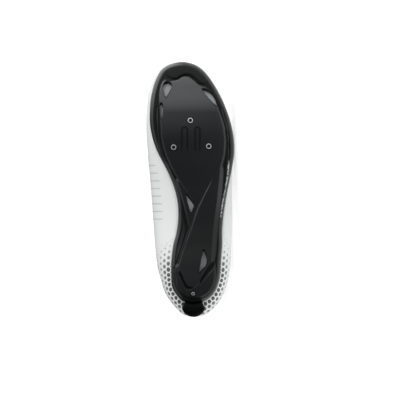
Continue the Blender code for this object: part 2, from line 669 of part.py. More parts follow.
def make_pad():
    """The rubber heel block: behind the carbon's heel end, its back running up into the upper's heel."""
    centre = spine(HEEL_CENTRE)

    def under(x, y):
        ray = Vector((x, y)) - centre
        section = Section(centre, ray.normalized())
        share = (ray.length - section.feather) / (section.widest - section.feather)
        share = 1 - sqrt(1 - min(max(share, 0), 1))
        return section.feather_z + (section.widest_z - section.feather_z) * share - 2 * FIT

    rings = []
    for cut in PAD_SLICES:
        def across(y):
            return cut.aside * (PAD_HALF_BACK + (PAD_HALF_FRONT - PAD_HALF_BACK) * y / PAD_TREAD_FRONT_Y)

        curl = PAD_CURL * abs(cut.aside) ** PAD_CURL_POWER

        def rounded(y):
            return y + curl * (1 - y / PAD_TREAD_FRONT_Y)

        beside = Vector((across(PAD_TREAD_FRONT_Y), centre.y))
        front = centre.y - reach(SOLE_OUTLINE, beside, Vector((0, -1))) - FIT
        crest = rounded(PAD_CREST_Y)
        tops = [front + (crest - front) * k / PAD_TOP_STEPS for k in range(PAD_TOP_STEPS + 1)]
        ring = [(front, PAD_FRONT_Z)] + [(y, under(across(y), y)) for y in tops]
        ring += [(rounded(spot.y), spot.z) for spot in PAD_BACK]
        ring.append((PAD_TREAD_FRONT_Y, PAD_BACK[-1].z))
        ring = [Vector((across(y), y, z)) for y, z in ring]
        middle = sum(ring, Vector()) / len(ring)
        rings.append([Vector((point.x, *(middle + (point - middle) * cut.size).yz)) for point in ring])
    bm = loft(rings)
    bmesh.ops.recalc_face_normals(bm, faces=bm.faces[:])
    add("heel_pad", bm, HEEL_RUBBER)


def wall(piece, thickness):
    """Gives a surface its thickness, inwards."""
    solid = piece.modifiers.new("wall", "SOLIDIFY")
    solid.thickness = thickness
    solid.offset = -1
    solid.use_even_offset = True


def grid(columns):
    """A surface through columns of equally many points."""
    bm = bmesh.new()
    laid = [[bm.verts.new(point) for point in column] for column in columns]
    for left, right in zip(laid, laid[1:]):
        for j in range(len(left) - 1):
            bm.faces.new((left[j], right[j], right[j + 1], left[j + 1]))
    return bm


def make_upper():
    """The upper: both half sides of every section, joined at heel, vamp and toe, given its wall."""
    bm = bmesh.new()
    for half, turned_over in ((INNER_RAYS, False), (OUTER_RAYS, True)):
        columns = []
        for origin, ray in half:
            section = Section(origin, ray)
            top = section.top()
            column = [section.skirt()] + [section.flare(k / LOW_ROWS) for k in range(LOW_ROWS)]
            column += [section.arch(top * k / HIGH_ROWS) for k in range(HIGH_ROWS + 1)]
            columns.append(column)
        if turned_over:
            columns.reverse()
        side = grid(columns)
        mesh = bpy.data.meshes.new("side")
        side.to_mesh(mesh)
        side.free()
        bm.from_mesh(mesh)
        bpy.data.meshes.remove(mesh)
    bmesh.ops.remove_doubles(bm, verts=bm.verts[:], dist=1e-5)
    upper = add("upper", bm, UPPER_WHITE)
    wall(upper, UPPER_WALL)


def push_out(bm, distance):
    """Moves a surface along its own normals."""
    bm.normal_update()
    normals = [vert.normal.copy() for vert in bm.verts]
    for vert, normal in zip(bm.verts, normals):
        vert.co += normal * distance


def make_tongue():
    """The tongue: it follows the last under the throat's edges and stands up past the collar."""
    columns = []
    for row in TONGUE:
        column = []
        for k in range(-TONGUE_COLUMNS, TONGUE_COLUMNS + 1):
            share = k / TONGUE_COLUMNS
            out = abs(share) * row.half * BALL_WIDTH
            ray = Vector((-1 if k > 0 else 1, 0))
            section = Section(spine(row.along - row.sweep * share**2), ray)
            column.append(section.arch(section.angle_where(lambda angle: section.out_at(angle) <= out)))
        columns.append(column)
    bm = grid(columns)
    push_out(bm, -(UPPER_WALL + TONGUE_FIT))
    wall(add("tongue", bm, TONGUE_GREY), TONGUE_THICK)


def make_straps():
    """Two straps over the throat: each starts low on the inner side and ends in a round tab."""
    for strap in STRAPS:
        half = strap.width / 2 / LENGTH
        span = (pi / 2 - strap.start) + (pi / 2 - strap.end)
        columns = []
        for j in range(STRAP_COLUMNS + 1):
            across = 2 * j / STRAP_COLUMNS - 1
            column = []
            for k in range(STRAP_ROWS + 1):
                share = 1 - (1 - k / STRAP_ROWS) ** STRAP_ROW_BIAS
                past = max(0.0, (share * span - (span - TAB_ROUND)) / TAB_ROUND)
                narrow = sqrt(max(0.0, 1 - TAB_END_CUT * past**2))
                along = strap.along + across * half * narrow + strap.slant * (share - 0.5)
                turn = strap.start + share * span
                side, angle = (1, turn) if turn < pi / 2 else (-1, pi - turn)
                column.append(Section(spine(along), Vector((side, 0))).arch(angle))
            columns.append(column)
        bm = grid(columns)
        push_out(bm, FIT + STRAP_THICK)
        wall(add(strap.name, bm, STRAP_GREY), STRAP_THICK)


def make_insole():
    """The insole: a flat sheet on the sole's floor, inside the foot of the upper."""
    depth = FEATHER_INSET + UPPER_WALL + LAST_FIT
    low = PLATE_THICK + FIT
    insole = add("insole", loft([sole_ring(depth, low), sole_ring(depth, low + INSOLE_THICK)]), INSOLE_WHITE)
    bend(insole)


def shade(piece):
    """Smooth shading with the sharp edges kept."""
    piece.data.shade_smooth()
    piece.data.set_sharp_from_angle(angle=radians(35))


def world_mesh(piece):
    """A piece's evaluated mesh, in the shoe's own frame, as a bmesh of triangles."""
    seen = piece.evaluated_get(bpy.context.evaluated_depsgraph_get())
    bm = bmesh.new()
    bm.from_mesh(seen.to_mesh())
    seen.to_mesh_clear()
    bm.transform(piece.matrix_world)
    bmesh.ops.triangulate(bm, faces=bm.faces[:])
    return bm


def lay_on_side(pieces):
    """The empty that carries the shoe, turned so that it rests on its outer side."""
    bpy.context.view_layer.update()
    hull = bmesh.new()
    mass, moment = 0.0, Vector()
    for piece in pieces:
        bm = world_mesh(piece)
        density = DENSITY[piece.data.materials[0].name]
        for face in bm.faces:
            a, b, c = (vert.co for vert in face.verts)
            part = density * a.dot(b.cross(c)) / 6
            mass += part
            moment += part * (a + b + c) / 4
        for vert in bm.verts:
            hull.verts.new(vert.co)
        bm.free()
    centre = moment / mass
    bmesh.ops.convex_hull(hull, input=hull.verts[:])
    hull.normal_update()
    rests = []
    for face in hull.faces:
        corners = [vert.co for vert in face.verts]
        height = (corners[0] - centre).dot(face.normal)
        under = centre + face.normal * height
        if face.normal.x < -SIDE_FACING and intersect_point_tri(under, *corners[:3]):
            rests.append((height, face.normal.copy()))
    up = -min(rests, key=lambda rest: rest[0])[1]
    forward = (Vector((0, 1, 0)) - up * up.y).normalized()
    turn = Matrix((forward, up.cross(forward), up)).to_4x4()
    points = [turn @ vert.co for vert in hull.verts]
    low = [min(point[axis] for point in points) for axis in range(3)]
    high = [max(point[axis] for point in points) for axis in range(3)]
    middle = Vector(((low[0] + high[0]) / 2, (low[1] + high[1]) / 2, low[2]))
    hull.free()
    carrier = bpy.data.objects.new("shoe", None)
    SHOE.objects.link(carrier)
    carrier.matrix_world = Matrix.Translation(-middle) @ turn
    for piece in pieces:
        piece.parent = carrier
    return carrier


clear_scene()
SHOE = bpy.data.collections.new("cycling_shoe")
bpy.context.scene.collection.children.link(SHOE)
CARBON = material("carbon", (0.012, 0.014, 0.015), 0.22)
SOFT_RUBBER = material("soft_rubber", (0.028, 0.030, 0.029), 0.6)
HEEL_RUBBER = material("heel_rubber", (0.008, 0.009, 0.009), 0.5)
STEEL = material("steel", (0.62, 0.63, 0.64), 0.25, 1.0)
UPPER_WHITE = material("upper_white", (0.80, 0.81, 0.82), 0.45)
TONGUE_GREY = material("tongue_grey", (0.55, 0.56, 0.57), 0.8)
STRAP_GREY = material("strap_grey", (0.70, 0.71, 0.72), 0.6)
INSOLE_WHITE = material("insole_white", (0.62, 0.63, 0.64), 0.85)
DENSITY = {
    "carbon": 1100, "soft_rubber": 1200, "heel_rubber": 1200, "steel": 7850, "upper_white": 900,
    "tongue_grey": 900, "strap_grey": 1100, "insole_white": 300,
}
make_sole()
make_bumper()
make_fittings()
make_pad()
make_upper()
make_tongue()
make_straps()
make_insole()
PIECES = list(SHOE.objects)
for made_piece in PIECES:
    shade(made_piece)
lay_on_side(PIECES)
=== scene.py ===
# %% [markdown]
# A road cycling shoe for the left foot, lying on its outer side so that the sole faces the camera.
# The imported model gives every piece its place. This script dresses it: it builds the carbon sole,
# the upper and the small parts again with finer surfaces, and gives each its own finish.

from collections import namedtuple
from functools import partial
from math import cos, exp, log, pi, radians, sin, sqrt

import bmesh
import bpy
import numpy as np
from mathutils import Matrix, Vector


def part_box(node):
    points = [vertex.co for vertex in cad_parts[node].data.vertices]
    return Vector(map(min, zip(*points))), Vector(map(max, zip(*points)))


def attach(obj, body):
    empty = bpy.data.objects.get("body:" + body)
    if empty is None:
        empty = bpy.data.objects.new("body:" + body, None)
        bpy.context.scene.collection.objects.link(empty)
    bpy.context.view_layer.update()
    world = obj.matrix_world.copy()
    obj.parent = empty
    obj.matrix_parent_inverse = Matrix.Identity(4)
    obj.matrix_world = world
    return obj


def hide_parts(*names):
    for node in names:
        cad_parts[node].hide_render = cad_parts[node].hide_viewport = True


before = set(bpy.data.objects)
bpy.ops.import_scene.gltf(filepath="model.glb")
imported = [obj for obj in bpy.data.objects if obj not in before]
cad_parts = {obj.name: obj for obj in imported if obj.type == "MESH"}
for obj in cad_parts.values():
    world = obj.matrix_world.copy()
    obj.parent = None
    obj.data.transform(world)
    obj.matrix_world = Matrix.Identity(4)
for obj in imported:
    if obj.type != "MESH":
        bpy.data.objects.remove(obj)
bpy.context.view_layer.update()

# %% [markdown]
# The shoe is easiest to draw upright: +X to the inner side of the foot, +Y to the toe, +Z up. The
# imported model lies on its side. Three threaded inserts tell how it was turned: their middles are
# known in both frames, and three points fix a rigid move.

# %% Sizes of the shoe, in metres
LENGTH = 0.280
BALL_WIDTH = 0.091
INSTEP_HEIGHT = 0.0735
HEEL_HEIGHT = 0.087
TOE_SPRING = 0.0225
SOLE_CROWN = 0.003
UPPER_WALL = 0.0018
TONGUE_THICK = 0.003
INSOLE_THICK = 0.003
STRAP_THICK = 0.002
PLATE_THICK = 0.0024
RIM_WALL = 0.0018
RIM_HEIGHT = 0.0080
RIM_BAND = 0.0050
FIT = 0.0003
LAST_FIT = 0.0004
TONGUE_FIT = 0.0010
PLATFORM_DROP = 0.0030
SHANK_DROP = 0.0040
LEG_DROP = 0.0022
HEEL_PLATE_DROP = 0.0026
GROOVE_DEPTH = 0.0012
POCKET_LEVEL = -0.0010
SLOT_WIDTH = 0.0014
INSERT_RADIUS = 0.0036
INSERT_THICK = 0.0016
SCREW_RADIUS = 0.0034
SCREW_THICK = 0.0018
SCREW_DOME = 0.0007
BUMPER_THICK = 0.0030

# %% [markdown]
# Outlines are short tables of shares: along is a share of the length from the heel, across a share
# of the width at the ball, plus to the inner side. A smooth curve through the rows gives the line.

# %% Tables of the last and the sole
Plan = namedtuple("Plan", "along inner outer")
SOLE_PLAN = [Plan(*row) for row in [
    (0.065, 0.140, 0.142), (0.085, 0.197, 0.223), (0.115, 0.255, 0.282),
    (0.160, 0.269, 0.320), (0.220, 0.269, 0.334), (0.280, 0.247, 0.348),
    (0.340, 0.204, 0.349), (0.400, 0.186, 0.364), (0.460, 0.200, 0.392),
    (0.520, 0.250, 0.427), (0.580, 0.330, 0.464), (0.640, 0.426, 0.490),
    (0.700, 0.494, 0.484), (0.760, 0.526, 0.449), (0.820, 0.524, 0.388),
    (0.870, 0.506, 0.317), (0.910, 0.475, 0.248), (0.945, 0.432, 0.174),
    (0.972, 0.376, 0.096), (0.990, 0.285, 0.006),
]]
SOLE_ENDS = ((0.000, 0.053), (0.132, 1.000))
SIDE_PLAN = [Plan(*row) for row in [
    (0.012, 0.118, 0.140), (0.030, 0.180, 0.212), (0.060, 0.262, 0.296),
    (0.100, 0.338, 0.362), (0.160, 0.393, 0.416), (0.220, 0.438, 0.436),
    (0.280, 0.457, 0.448), (0.340, 0.471, 0.455), (0.400, 0.485, 0.456),
    (0.460, 0.498, 0.457), (0.520, 0.513, 0.459), (0.580, 0.528, 0.463),
    (0.640, 0.548, 0.464), (0.700, 0.563, 0.460), (0.760, 0.568, 0.434),
    (0.820, 0.559, 0.382), (0.870, 0.534, 0.318), (0.910, 0.496, 0.251),
    (0.945, 0.448, 0.177), (0.972, 0.385, 0.101), (0.989, 0.294, 0.016),
]]
SIDE_ENDS = ((-0.006, 0.004), (0.132, 0.997))
Rise = namedtuple("Rise", "along rise")
SOLE_RISE = [Rise(*row) for row in [
    (0.00, 0.28), (0.05, 0.26), (0.10, 0.22), (0.20, 0.29), (0.30, 0.40),
    (0.40, 0.46), (0.50, 0.38), (0.60, 0.22), (0.70, 0.14), (0.80, 0.22),
    (0.90, 0.53), (0.96, 0.80), (1.00, 1.00),
]]
Last = namedtuple("Last", "along spine ridge widest_in widest_out round lean")
LAST = [Last(*row) for row in [
    (0.000, -0.010, 2.230, 0.300, 0.300, 2.3, 0.16),
    (0.040, -0.010, 2.230, 0.330, 0.320, 2.3, 0.16),
    (0.100, -0.010, 2.230, 0.380, 0.370, 2.3, 0.16),
    (0.165, -0.010, 2.230, 0.410, 0.400, 2.3, 0.17),
    (0.250, 0.005, 1.930, 0.440, 0.400, 2.3, 0.16),
    (0.330, 0.020, 1.456, 0.480, 0.380, 2.2, 0.12),
    (0.400, 0.030, 1.204, 0.500, 0.350, 2.0, 0.06),
    (0.500, 0.045, 1.000, 0.460, 0.320, 1.9, 0.00),
    (0.600, 0.060, 0.844, 0.390, 0.285, 1.9, 0.00),
    (0.700, 0.075, 0.700, 0.310, 0.270, 2.05, 0.00),
    (0.800, 0.095, 0.571, 0.240, 0.240, 2.25, 0.00),
    (0.870, 0.115, 0.440, 0.200, 0.200, 2.4, 0.00),
    (0.950, 0.125, 0.330, 0.175, 0.175, 2.4, 0.00),
    (1.000, 0.130, 0.300, 0.170, 0.170, 2.4, 0.00),
]]
Topline = namedtuple("Topline", "along collar gap")
TOPLINE = [Topline(*row) for row in [
    (0.000, 1.000, 0.200), (0.030, 0.985, 0.200), (0.065, 0.930, 0.200),
    (0.105, 0.845, 0.200), (0.150, 0.775, 0.200), (0.210, 0.740, 0.200),
    (0.270, 0.775, 0.210), (0.330, 0.870, 0.240), (0.370, 0.970, 0.260),
    (0.410, 1.100, 0.262), (0.460, 1.400, 0.222), (0.535, 2.000, 0.190),
    (0.640, 2.500, 0.158), (0.700, 2.500, 0.120), (0.728, 2.500, 0.075),
    (0.745, 2.500, 0.000), (1.000, 2.500, 0.000),
]]
CORNER_SHARPNESS = 22
HEEL_CENTRE = 0.165
THROAT_END = 0.745
TOE_CENTRE = 0.870

# %% Tables of the sole's relief, each shape a loop of (across, along)
PLATFORM = [
    (0.360, 0.925), (0.412, 0.880), (0.413, 0.810), (0.400, 0.742), (0.387, 0.695), (0.351, 0.648),
    (0.294, 0.601), (0.222, 0.556), (0.144, 0.515), (0.060, 0.479), (-0.024, 0.447), (-0.100, 0.449),
    (-0.174, 0.485), (-0.246, 0.528), (-0.319, 0.569), (-0.374, 0.624), (-0.391, 0.675),
    (-0.383, 0.722), (-0.352, 0.769), (-0.298, 0.816), (-0.234, 0.865), (-0.150, 0.899),
    (-0.066, 0.912), (-0.005, 0.930), (0.060, 0.943), (0.130, 0.942), (0.192, 0.930), (0.270, 0.926),
]
TOE_PAD = [
    (0.321, 0.954), (0.270, 0.970), (0.198, 0.979), (0.114, 0.981), (0.030, 0.973), (-0.054, 0.954),
    (-0.118, 0.932), (-0.146, 0.916), (-0.121, 0.909), (-0.076, 0.918), (-0.020, 0.936),
    (0.052, 0.950), (0.130, 0.949), (0.192, 0.937), (0.240, 0.932), (0.290, 0.935),
]
SHANK_CREST = [
    (-0.276, 0.573), (-0.210, 0.526), (-0.138, 0.479), (-0.072, 0.434), (-0.024, 0.393),
    (0.024, 0.346), (0.078, 0.299), (0.132, 0.249), (0.174, 0.202), (0.186, 0.176), (0.126, 0.145),
    (0.066, 0.115), (0.000, 0.114), (-0.066, 0.135), (-0.138, 0.168), (-0.208, 0.207),
    (-0.218, 0.249), (-0.230, 0.303), (-0.246, 0.366), (-0.276, 0.432), (-0.300, 0.499),
    (-0.318, 0.554), (-0.330, 0.600), (-0.290, 0.600),
]
SHANK_FOOT = [
    (-0.252, 0.583), (-0.186, 0.532), (-0.114, 0.485), (-0.048, 0.440), (0.000, 0.399),
    (0.048, 0.352), (0.102, 0.305), (0.154, 0.254), (0.197, 0.204), (0.208, 0.172), (0.144, 0.140),
    (0.078, 0.106), (0.000, 0.104), (-0.082, 0.128), (-0.162, 0.160), (-0.236, 0.200),
    (-0.268, 0.249), (-0.280, 0.303), (-0.295, 0.366), (-0.320, 0.432), (-0.345, 0.499),
    (-0.358, 0.562), (-0.350, 0.610), (-0.270, 0.610),
]
MEDIAL_LEG = [
    (0.206, 0.540), (0.165, 0.491), (0.125, 0.444), (0.090, 0.401), (0.045, 0.348),
    (-0.042, 0.405), (-0.114, 0.456), (-0.030, 0.472), (0.078, 0.511),
]
HEEL_PLATE = [
    (0.214, 0.200), (0.216, 0.147), (0.200, 0.117), (0.082, 0.080), (0.012, 0.074), (-0.060, 0.075),
    (-0.168, 0.092), (-0.230, 0.119), (-0.260, 0.151), (-0.262, 0.200), (-0.234, 0.222),
    (0.042, 0.230),
]
GROOVES = [
    [(-0.330, 0.816), (-0.398, 0.734), (-0.410, 0.680), (-0.404, 0.620), (-0.378, 0.546),
     (-0.352, 0.470), (-0.362, 0.466), (-0.392, 0.546), (-0.421, 0.620), (-0.430, 0.680),
     (-0.422, 0.734), (-0.348, 0.820)],
    [(0.430, 0.824), (0.424, 0.760), (0.412, 0.705), (0.384, 0.655), (0.326, 0.604),
     (0.342, 0.602), (0.402, 0.652), (0.434, 0.702), (0.446, 0.760), (0.446, 0.822)],
    [(0.138, 0.405), (0.112, 0.372), (0.100, 0.350), (0.128, 0.305), (0.178, 0.255),
     (0.206, 0.226), (0.210, 0.250), (0.180, 0.296), (0.136, 0.348)],
    [(0.222, 0.196), (0.226, 0.150), (0.215, 0.122), (0.232, 0.130), (0.240, 0.160),
     (0.236, 0.196)],
]
HEEL_POCKETS = [
    [(-0.170, 0.196), (-0.246, 0.222), (-0.252, 0.200), (-0.192, 0.176), (-0.120, 0.149),
     (-0.085, 0.131), (-0.083, 0.147), (-0.132, 0.174)],
    [(0.176, 0.178), (0.150, 0.170), (0.108, 0.140), (0.068, 0.119), (0.020, 0.117),
     (0.020, 0.112), (0.078, 0.110), (0.124, 0.134)],
]
VENTS = [
    [(0.370, 0.902), (0.352, 0.919), (0.315, 0.926), (0.278, 0.919), (0.260, 0.906),
     (0.280, 0.886), (0.306, 0.869), (0.331, 0.857), (0.355, 0.871)],
    [(-0.100, 0.895), (-0.150, 0.894), (-0.198, 0.884), (-0.237, 0.869), (-0.266, 0.849),
     (-0.280, 0.825), (-0.244, 0.832), (-0.198, 0.850), (-0.155, 0.868), (-0.117, 0.883)],
    [(0.400, 0.838), (0.380, 0.840), (0.367, 0.826), (0.366, 0.806), (0.378, 0.773),
     (0.394, 0.779), (0.402, 0.806), (0.405, 0.826)],
    [(0.091, 0.483), (0.040, 0.465), (-0.004, 0.442), (0.011, 0.426), (0.030, 0.412),
     (0.058, 0.435), (0.078, 0.460)],
    [(-0.121, 0.267), (-0.147, 0.249), (-0.157, 0.225), (-0.145, 0.202), (-0.107, 0.187),
     (-0.064, 0.174), (-0.076, 0.200), (-0.090, 0.227), (-0.105, 0.249)],
]
SLOTS = [(0.148, 0.066, 0.745, 0.652), (-0.012, -0.084, 0.745, 0.652)]
INSERTS = {
    "cleat_insert_front": (0.038, 0.769),
    "cleat_insert_medial": (0.239, 0.664),
    "cleat_insert_lateral": (-0.184, 0.668),
}
SCREW_PLACE = (0.005, 0.092)
TONGUE_ROWS = [
    (0.372, 0.200, 0.014), (0.374, 0.250, 0.020), (0.380, 0.280, 0.024),
    (0.395, 0.310, 0.022), (0.415, 0.325, 0.012), (0.445, 0.320, 0.000),
    (0.490, 0.295, 0.000), (0.550, 0.270, 0.000), (0.610, 0.245, 0.000),
    (0.670, 0.220, 0.000), (0.720, 0.185, 0.000), (0.755, 0.130, 0.000),
]

# %% [markdown]
# Each column of a table is read on a cubic curve that never overshoots its rows, so a short table
# still gives a fair line. A loop of points is rounded the same way.

# %% Curves through the tables
def place(share):
    """A point given as (across, along) shares, in metres."""
    return Vector((share[0] * BALL_WIDTH, share[1] * LENGTH))


def span_weights(t):
    """Weights of a cubic span's two ends and two slopes, at a share t of it."""
    return 2 * t**3 - 3 * t**2 + 1, 3 * t**2 - 2 * t**3, t**3 - 2 * t**2 + t, t**3 - t**2


def curve(rows, along):
    """The height of a smooth curve through (place, value) rows."""
    if along <= rows[0][0]:
        return rows[0][1]
    if along >= rows[-1][0]:
        return rows[-1][1]
    steep = [(b[1] - a[1]) / (b[0] - a[0]) for a, b in zip(rows, rows[1:])]
    i = next(k for k in range(len(steep)) if along <= rows[k + 1][0])

    def slope(k):
        if k == 0 or k == len(rows) - 1:
            return steep[min(k, len(steep) - 1)]
        before, after = steep[k - 1], steep[k]
        return 0.0 if before * after <= 0 else 2 * before * after / (before + after)

    (a, low), (b, high) = rows[i], rows[i + 1]
    start, stop, leave, arrive = span_weights((along - a) / (b - a))
    return start * low + stop * high + (leave * slope(i) + arrive * slope(i + 1)) * (b - a)


def read(table, column, along):
    """A table column's value at a place along the shoe."""
    return curve([(row.along, getattr(row, column)) for row in table], along)


def smooth_loop(points, per_span):
    """A closed smooth curve through a loop of points."""
    count = len(points)
    after = points[1:] + points[:1]
    before = points[-1:] + points[:-1]
    chord = [(b - a).length for a, b in zip(points, after)]
    slope = [(after[i] - before[i]) / (chord[i] + chord[i - 1]) for i in range(count)]
    loop = []
    for i in range(count):
        for k in range(per_span):
            start, stop, leave, arrive = span_weights(k / per_span)
            loop.append(points[i] * start + after[i] * stop + slope[i] * chord[i] * leave
                        + slope[(i + 1) % count] * chord[i] * arrive)
    return loop


def rounded(shape, per_span=4):
    """A shape given in shares, as a smooth counter-clockwise loop in metres."""
    points = [place(share) for share in shape]
    if sum(a.cross(b) for a, b in zip(points, points[1:] + points[:1])) < 0:
        points.reverse()
    return smooth_loop(points, per_span)


def plan_outline(plan, ends, per_span=16):
    """A closed outline from the heel up the inner side and back down the outer side."""
    inner = [place((row.inner, row.along)) for row in plan]
    outer = [place((-row.outer, row.along)) for row in reversed(plan)]
    return smooth_loop([place(ends[0])] + inner + [place(ends[1])] + outer, per_span)


def inset(loop, depth):
    """A counter-clockwise outline moved inwards by a depth."""
    moved = []
    for before, here, after in zip(loop[-1:] + loop[:-1], loop, loop[1:] + loop[:1]):
        run = (after - before).normalized()
        moved.append(here + Vector((-run.y, run.x)) * depth)
    return moved


SOLE_OUTLINE = plan_outline(SOLE_PLAN, SOLE_ENDS)
SIDE_OUTLINE = plan_outline(SIDE_PLAN, SIDE_ENDS)
FEATHER_INSET = RIM_WALL + LAST_FIT
FEATHER_OUTLINE = inset(SOLE_OUTLINE, FEATHER_INSET)
print("sole outline", len(SOLE_OUTLINE), "points")


# %% [markdown]
# The sole is bent in two ways: along, with the heel and the toe lifted off the ground, and across,
# with its edges a little higher than its middle. One function gives both.

# %% The bent sole
RISE_STEPS = 2000
RISE_TABLE = np.array([read(SOLE_RISE, "rise", k / RISE_STEPS) for k in range(RISE_STEPS + 1)])


def rise(x, y):
    """Height of the sole's underside over the ground, for numbers or arrays."""
    along = np.interp(y / LENGTH, np.linspace(0, 1, RISE_STEPS + 1), RISE_TABLE)
    return along * TOE_SPRING + SOLE_CROWN * (2 * x / BALL_WIDTH) ** 2


def turned_frame(a, b, c):
    """The rigid frame that three points span."""
    run = (b - a).normalized()
    up = run.cross(c - a).normalized()
    turn = Matrix((run, up.cross(run), up)).transposed().to_4x4()
    return Matrix.Translation(a) @ turn


def middle_of(node):
    """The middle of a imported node's box."""
    low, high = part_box(node)
    return (Vector(low) + Vector(high)) / 2


drawn, lying = [], []
for node_name, spot in INSERTS.items():
    at = place(spot)
    level = INSERT_THICK / 2 - PLATFORM_DROP + float(rise(at.x, at.y))
    drawn.append(Vector((at.x, at.y, level)))
    lying.append(middle_of(node_name))
TO_WORLD = turned_frame(*lying) @ turned_frame(*drawn).inverted()
print("lying shoe, toe direction", [round(v, 3) for v in TO_WORLD.to_3x3() @ Vector((0, 1, 0))])

# %% [markdown]
# Every surface of this shoe is a grid laid over a shape: a bmesh grid is made by Blender's own
# operator, and each of its points is then carried to its place. The sole and the upper share the
# same lines: half sections that fan out round the heel and the toe and run straight across between.

# %% Half sections of the shoe
HEEL_STEPS, WAIST_STEPS, VAMP_STEPS, TOE_STEPS = 36, 180, 40, 56


def spine(along):
    """The point on the last's middle line that a section stands on."""
    return place((read(LAST, "spine", along), along))


def rays(side):
    """Origin and direction of each half section of one side, from the heel's back to the toe."""
    found = []
    for k in range(HEEL_STEPS):
        turn = radians(90) * k / HEEL_STEPS
        found.append((spine(HEEL_CENTRE), Vector((side * sin(turn), -cos(turn)))))
    for start, stop, steps in (
        (HEEL_CENTRE, THROAT_END, WAIST_STEPS), (THROAT_END, TOE_CENTRE, VAMP_STEPS)
    ):
        for k in range(steps):
            found.append((spine(start + (stop - start) * k / steps), Vector((side, 0))))
    for k in range(TOE_STEPS + 1):
        turn = radians(90) * k / TOE_STEPS
        found.append((spine(TOE_CENTRE), Vector((side * cos(turn), sin(turn)))))
    return found


INNER_RAYS, OUTER_RAYS = rays(1), rays(-1)
ROUND_RAYS = INNER_RAYS + OUTER_RAYS[-2:0:-1]
ORIGINS = np.array([tuple(origin) for origin, ray in ROUND_RAYS])
WAYS = np.array([tuple(ray) for origin, ray in ROUND_RAYS])


def reaches(loop, origins=ORIGINS, ways=WAYS):
    """How far each ray runs from inside an outline to that outline."""
    start = np.array([tuple(point) for point in loop])
    edge = np.roll(start, -1, axis=0) - start
    away = start[None] - origins[:, None]
    turn = ways[:, None, 0] * edge[None, :, 1] - ways[:, None, 1] * edge[None, :, 0]
    turn = np.where(abs(turn) < 1e-12, 1e-12, turn)
    ahead = (away[..., 0] * edge[None, :, 1] - away[..., 1] * edge[None, :, 0]) / turn
    share = (away[..., 0] * ways[:, None, 1] - away[..., 1] * ways[:, None, 0]) / turn
    ahead = np.where((ahead > 0) & (share >= 0) & (share <= 1), ahead, np.inf)
    return ahead.min(axis=1)


def carried_grid(spots, closed, while_flat=None):
    """A bmesh grid carried to spots[column][row]; a closed one joins its last column to its first."""
    columns, rows = spots.shape[:2]
    wide, tall = columns if closed else columns - 1, rows - 1
    bm = bmesh.new()
    bmesh.ops.create_grid(bm, x_segments=wide, y_segments=tall, size=0.5)
    if while_flat:
        while_flat(bm, wide, tall)
    for vert in bm.verts:
        i = round((vert.co.x + 0.5) * wide) % columns
        j = round((vert.co.y + 0.5) * tall)
        vert.co = Vector(spots[i, j])
    return bm


SAME_POINT = 2e-6


def laid_grid(spots, finish_at=None):
    """A closed grid with its doubled points merged, each face finished by where in it it lies."""
    def finish_faces(bm, wide, tall):
        for face in bm.faces:
            middle = face.calc_center_median()
            face.material_index = finish_at((middle.x + 0.5) * wide, (middle.y + 0.5) * tall)

    bm = carried_grid(spots, True, finish_faces if finish_at else None)
    bmesh.ops.remove_doubles(bm, verts=bm.verts[:], dist=SAME_POINT)
    bmesh.ops.recalc_face_normals(bm, faces=bm.faces[:])
    return bm


def as_mesh(name, bm):
    """A bmesh as a mesh; the bmesh is freed."""
    mesh = bpy.data.meshes.new(name)
    bm.to_mesh(mesh)
    bm.free()
    return mesh


def placed(name, data):
    """An object in the scene."""
    made = bpy.data.objects.new(name, data)
    bpy.context.collection.objects.link(made)
    return made


# What would reach under the floor is pressed flat on it by the shoe's own weight.
PRESSED_TO = 0.0001


def finished(name, bm, finishes, sharp=40):
    """Turns a bmesh drawn upright into a piece of the lying shoe."""
    bm.transform(TO_WORLD)
    for vert in bm.verts:
        vert.co.z = max(vert.co.z, PRESSED_TO)
    piece = placed(name, as_mesh(name, bm))
    for finish in finishes:
        piece.data.materials.append(finish)
    piece.data.shade_smooth()
    piece.data.set_sharp_from_angle(angle=radians(sharp))
    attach(piece, "root")
    print(name, len(piece.data.polygons), "faces")
    return piece


print(len(ROUND_RAYS), "half sections")

# %% [markdown]
# A material starts from what the real thing is. Colours are written as the screen shows them, in
# hex, and one function turns them to the linear values that Blender computes with.

# %% Colour and node helpers
def colour(code):
    """An sRGB hex code as linear red, green, blue and alpha."""
    parts = [int(code[i:i + 2], 16) / 255 for i in (0, 2, 4)]
    return (*(c / 12.92 if c <= 0.04045 else ((c + 0.055) / 1.055) ** 2.4 for c in parts), 1.0)


def node(finish, kind, sockets=None, **settings):
    """Adds a node to a material, sets its properties, and links or sets its input sockets."""
    made = finish.node_tree.nodes.new(kind)
    for key, value in settings.items():
        setattr(made, key, value)
    for key, value in (sockets or {}).items():
        if isinstance(value, bpy.types.NodeSocket):
            finish.node_tree.links.new(value, made.inputs[key])
        else:
            made.inputs[key].default_value = value
    return made


def plain(name, code, **sockets):
    """A Principled material with a base colour and any other of its sockets set."""
    finish = bpy.data.materials.new(name)
    finish.use_nodes = True
    shader = finish.node_tree.nodes["Principled BSDF"]
    shader.inputs["Base Color"].default_value = colour(code)
    for key, value in sockets.items():
        shader.inputs[key.replace("_", " ")].default_value = value
    return finish


def wire(finish, key, source):
    """Links a socket into the material's Principled shader."""
    finish.node_tree.links.new(source, finish.node_tree.nodes["Principled BSDF"].inputs[key])


def bumped(finish, height, depth, strength):
    """Gives a material a bump from a height socket, its depth in metres."""
    bump = node(finish, "ShaderNodeBump", {"Height": height, "Distance": depth, "Strength": strength})
    wire(finish, "Normal", bump.outputs["Normal"])


def own_place(finish):
    """Object coordinates, in metres."""
    return node(finish, "ShaderNodeTexCoord").outputs["Object"]


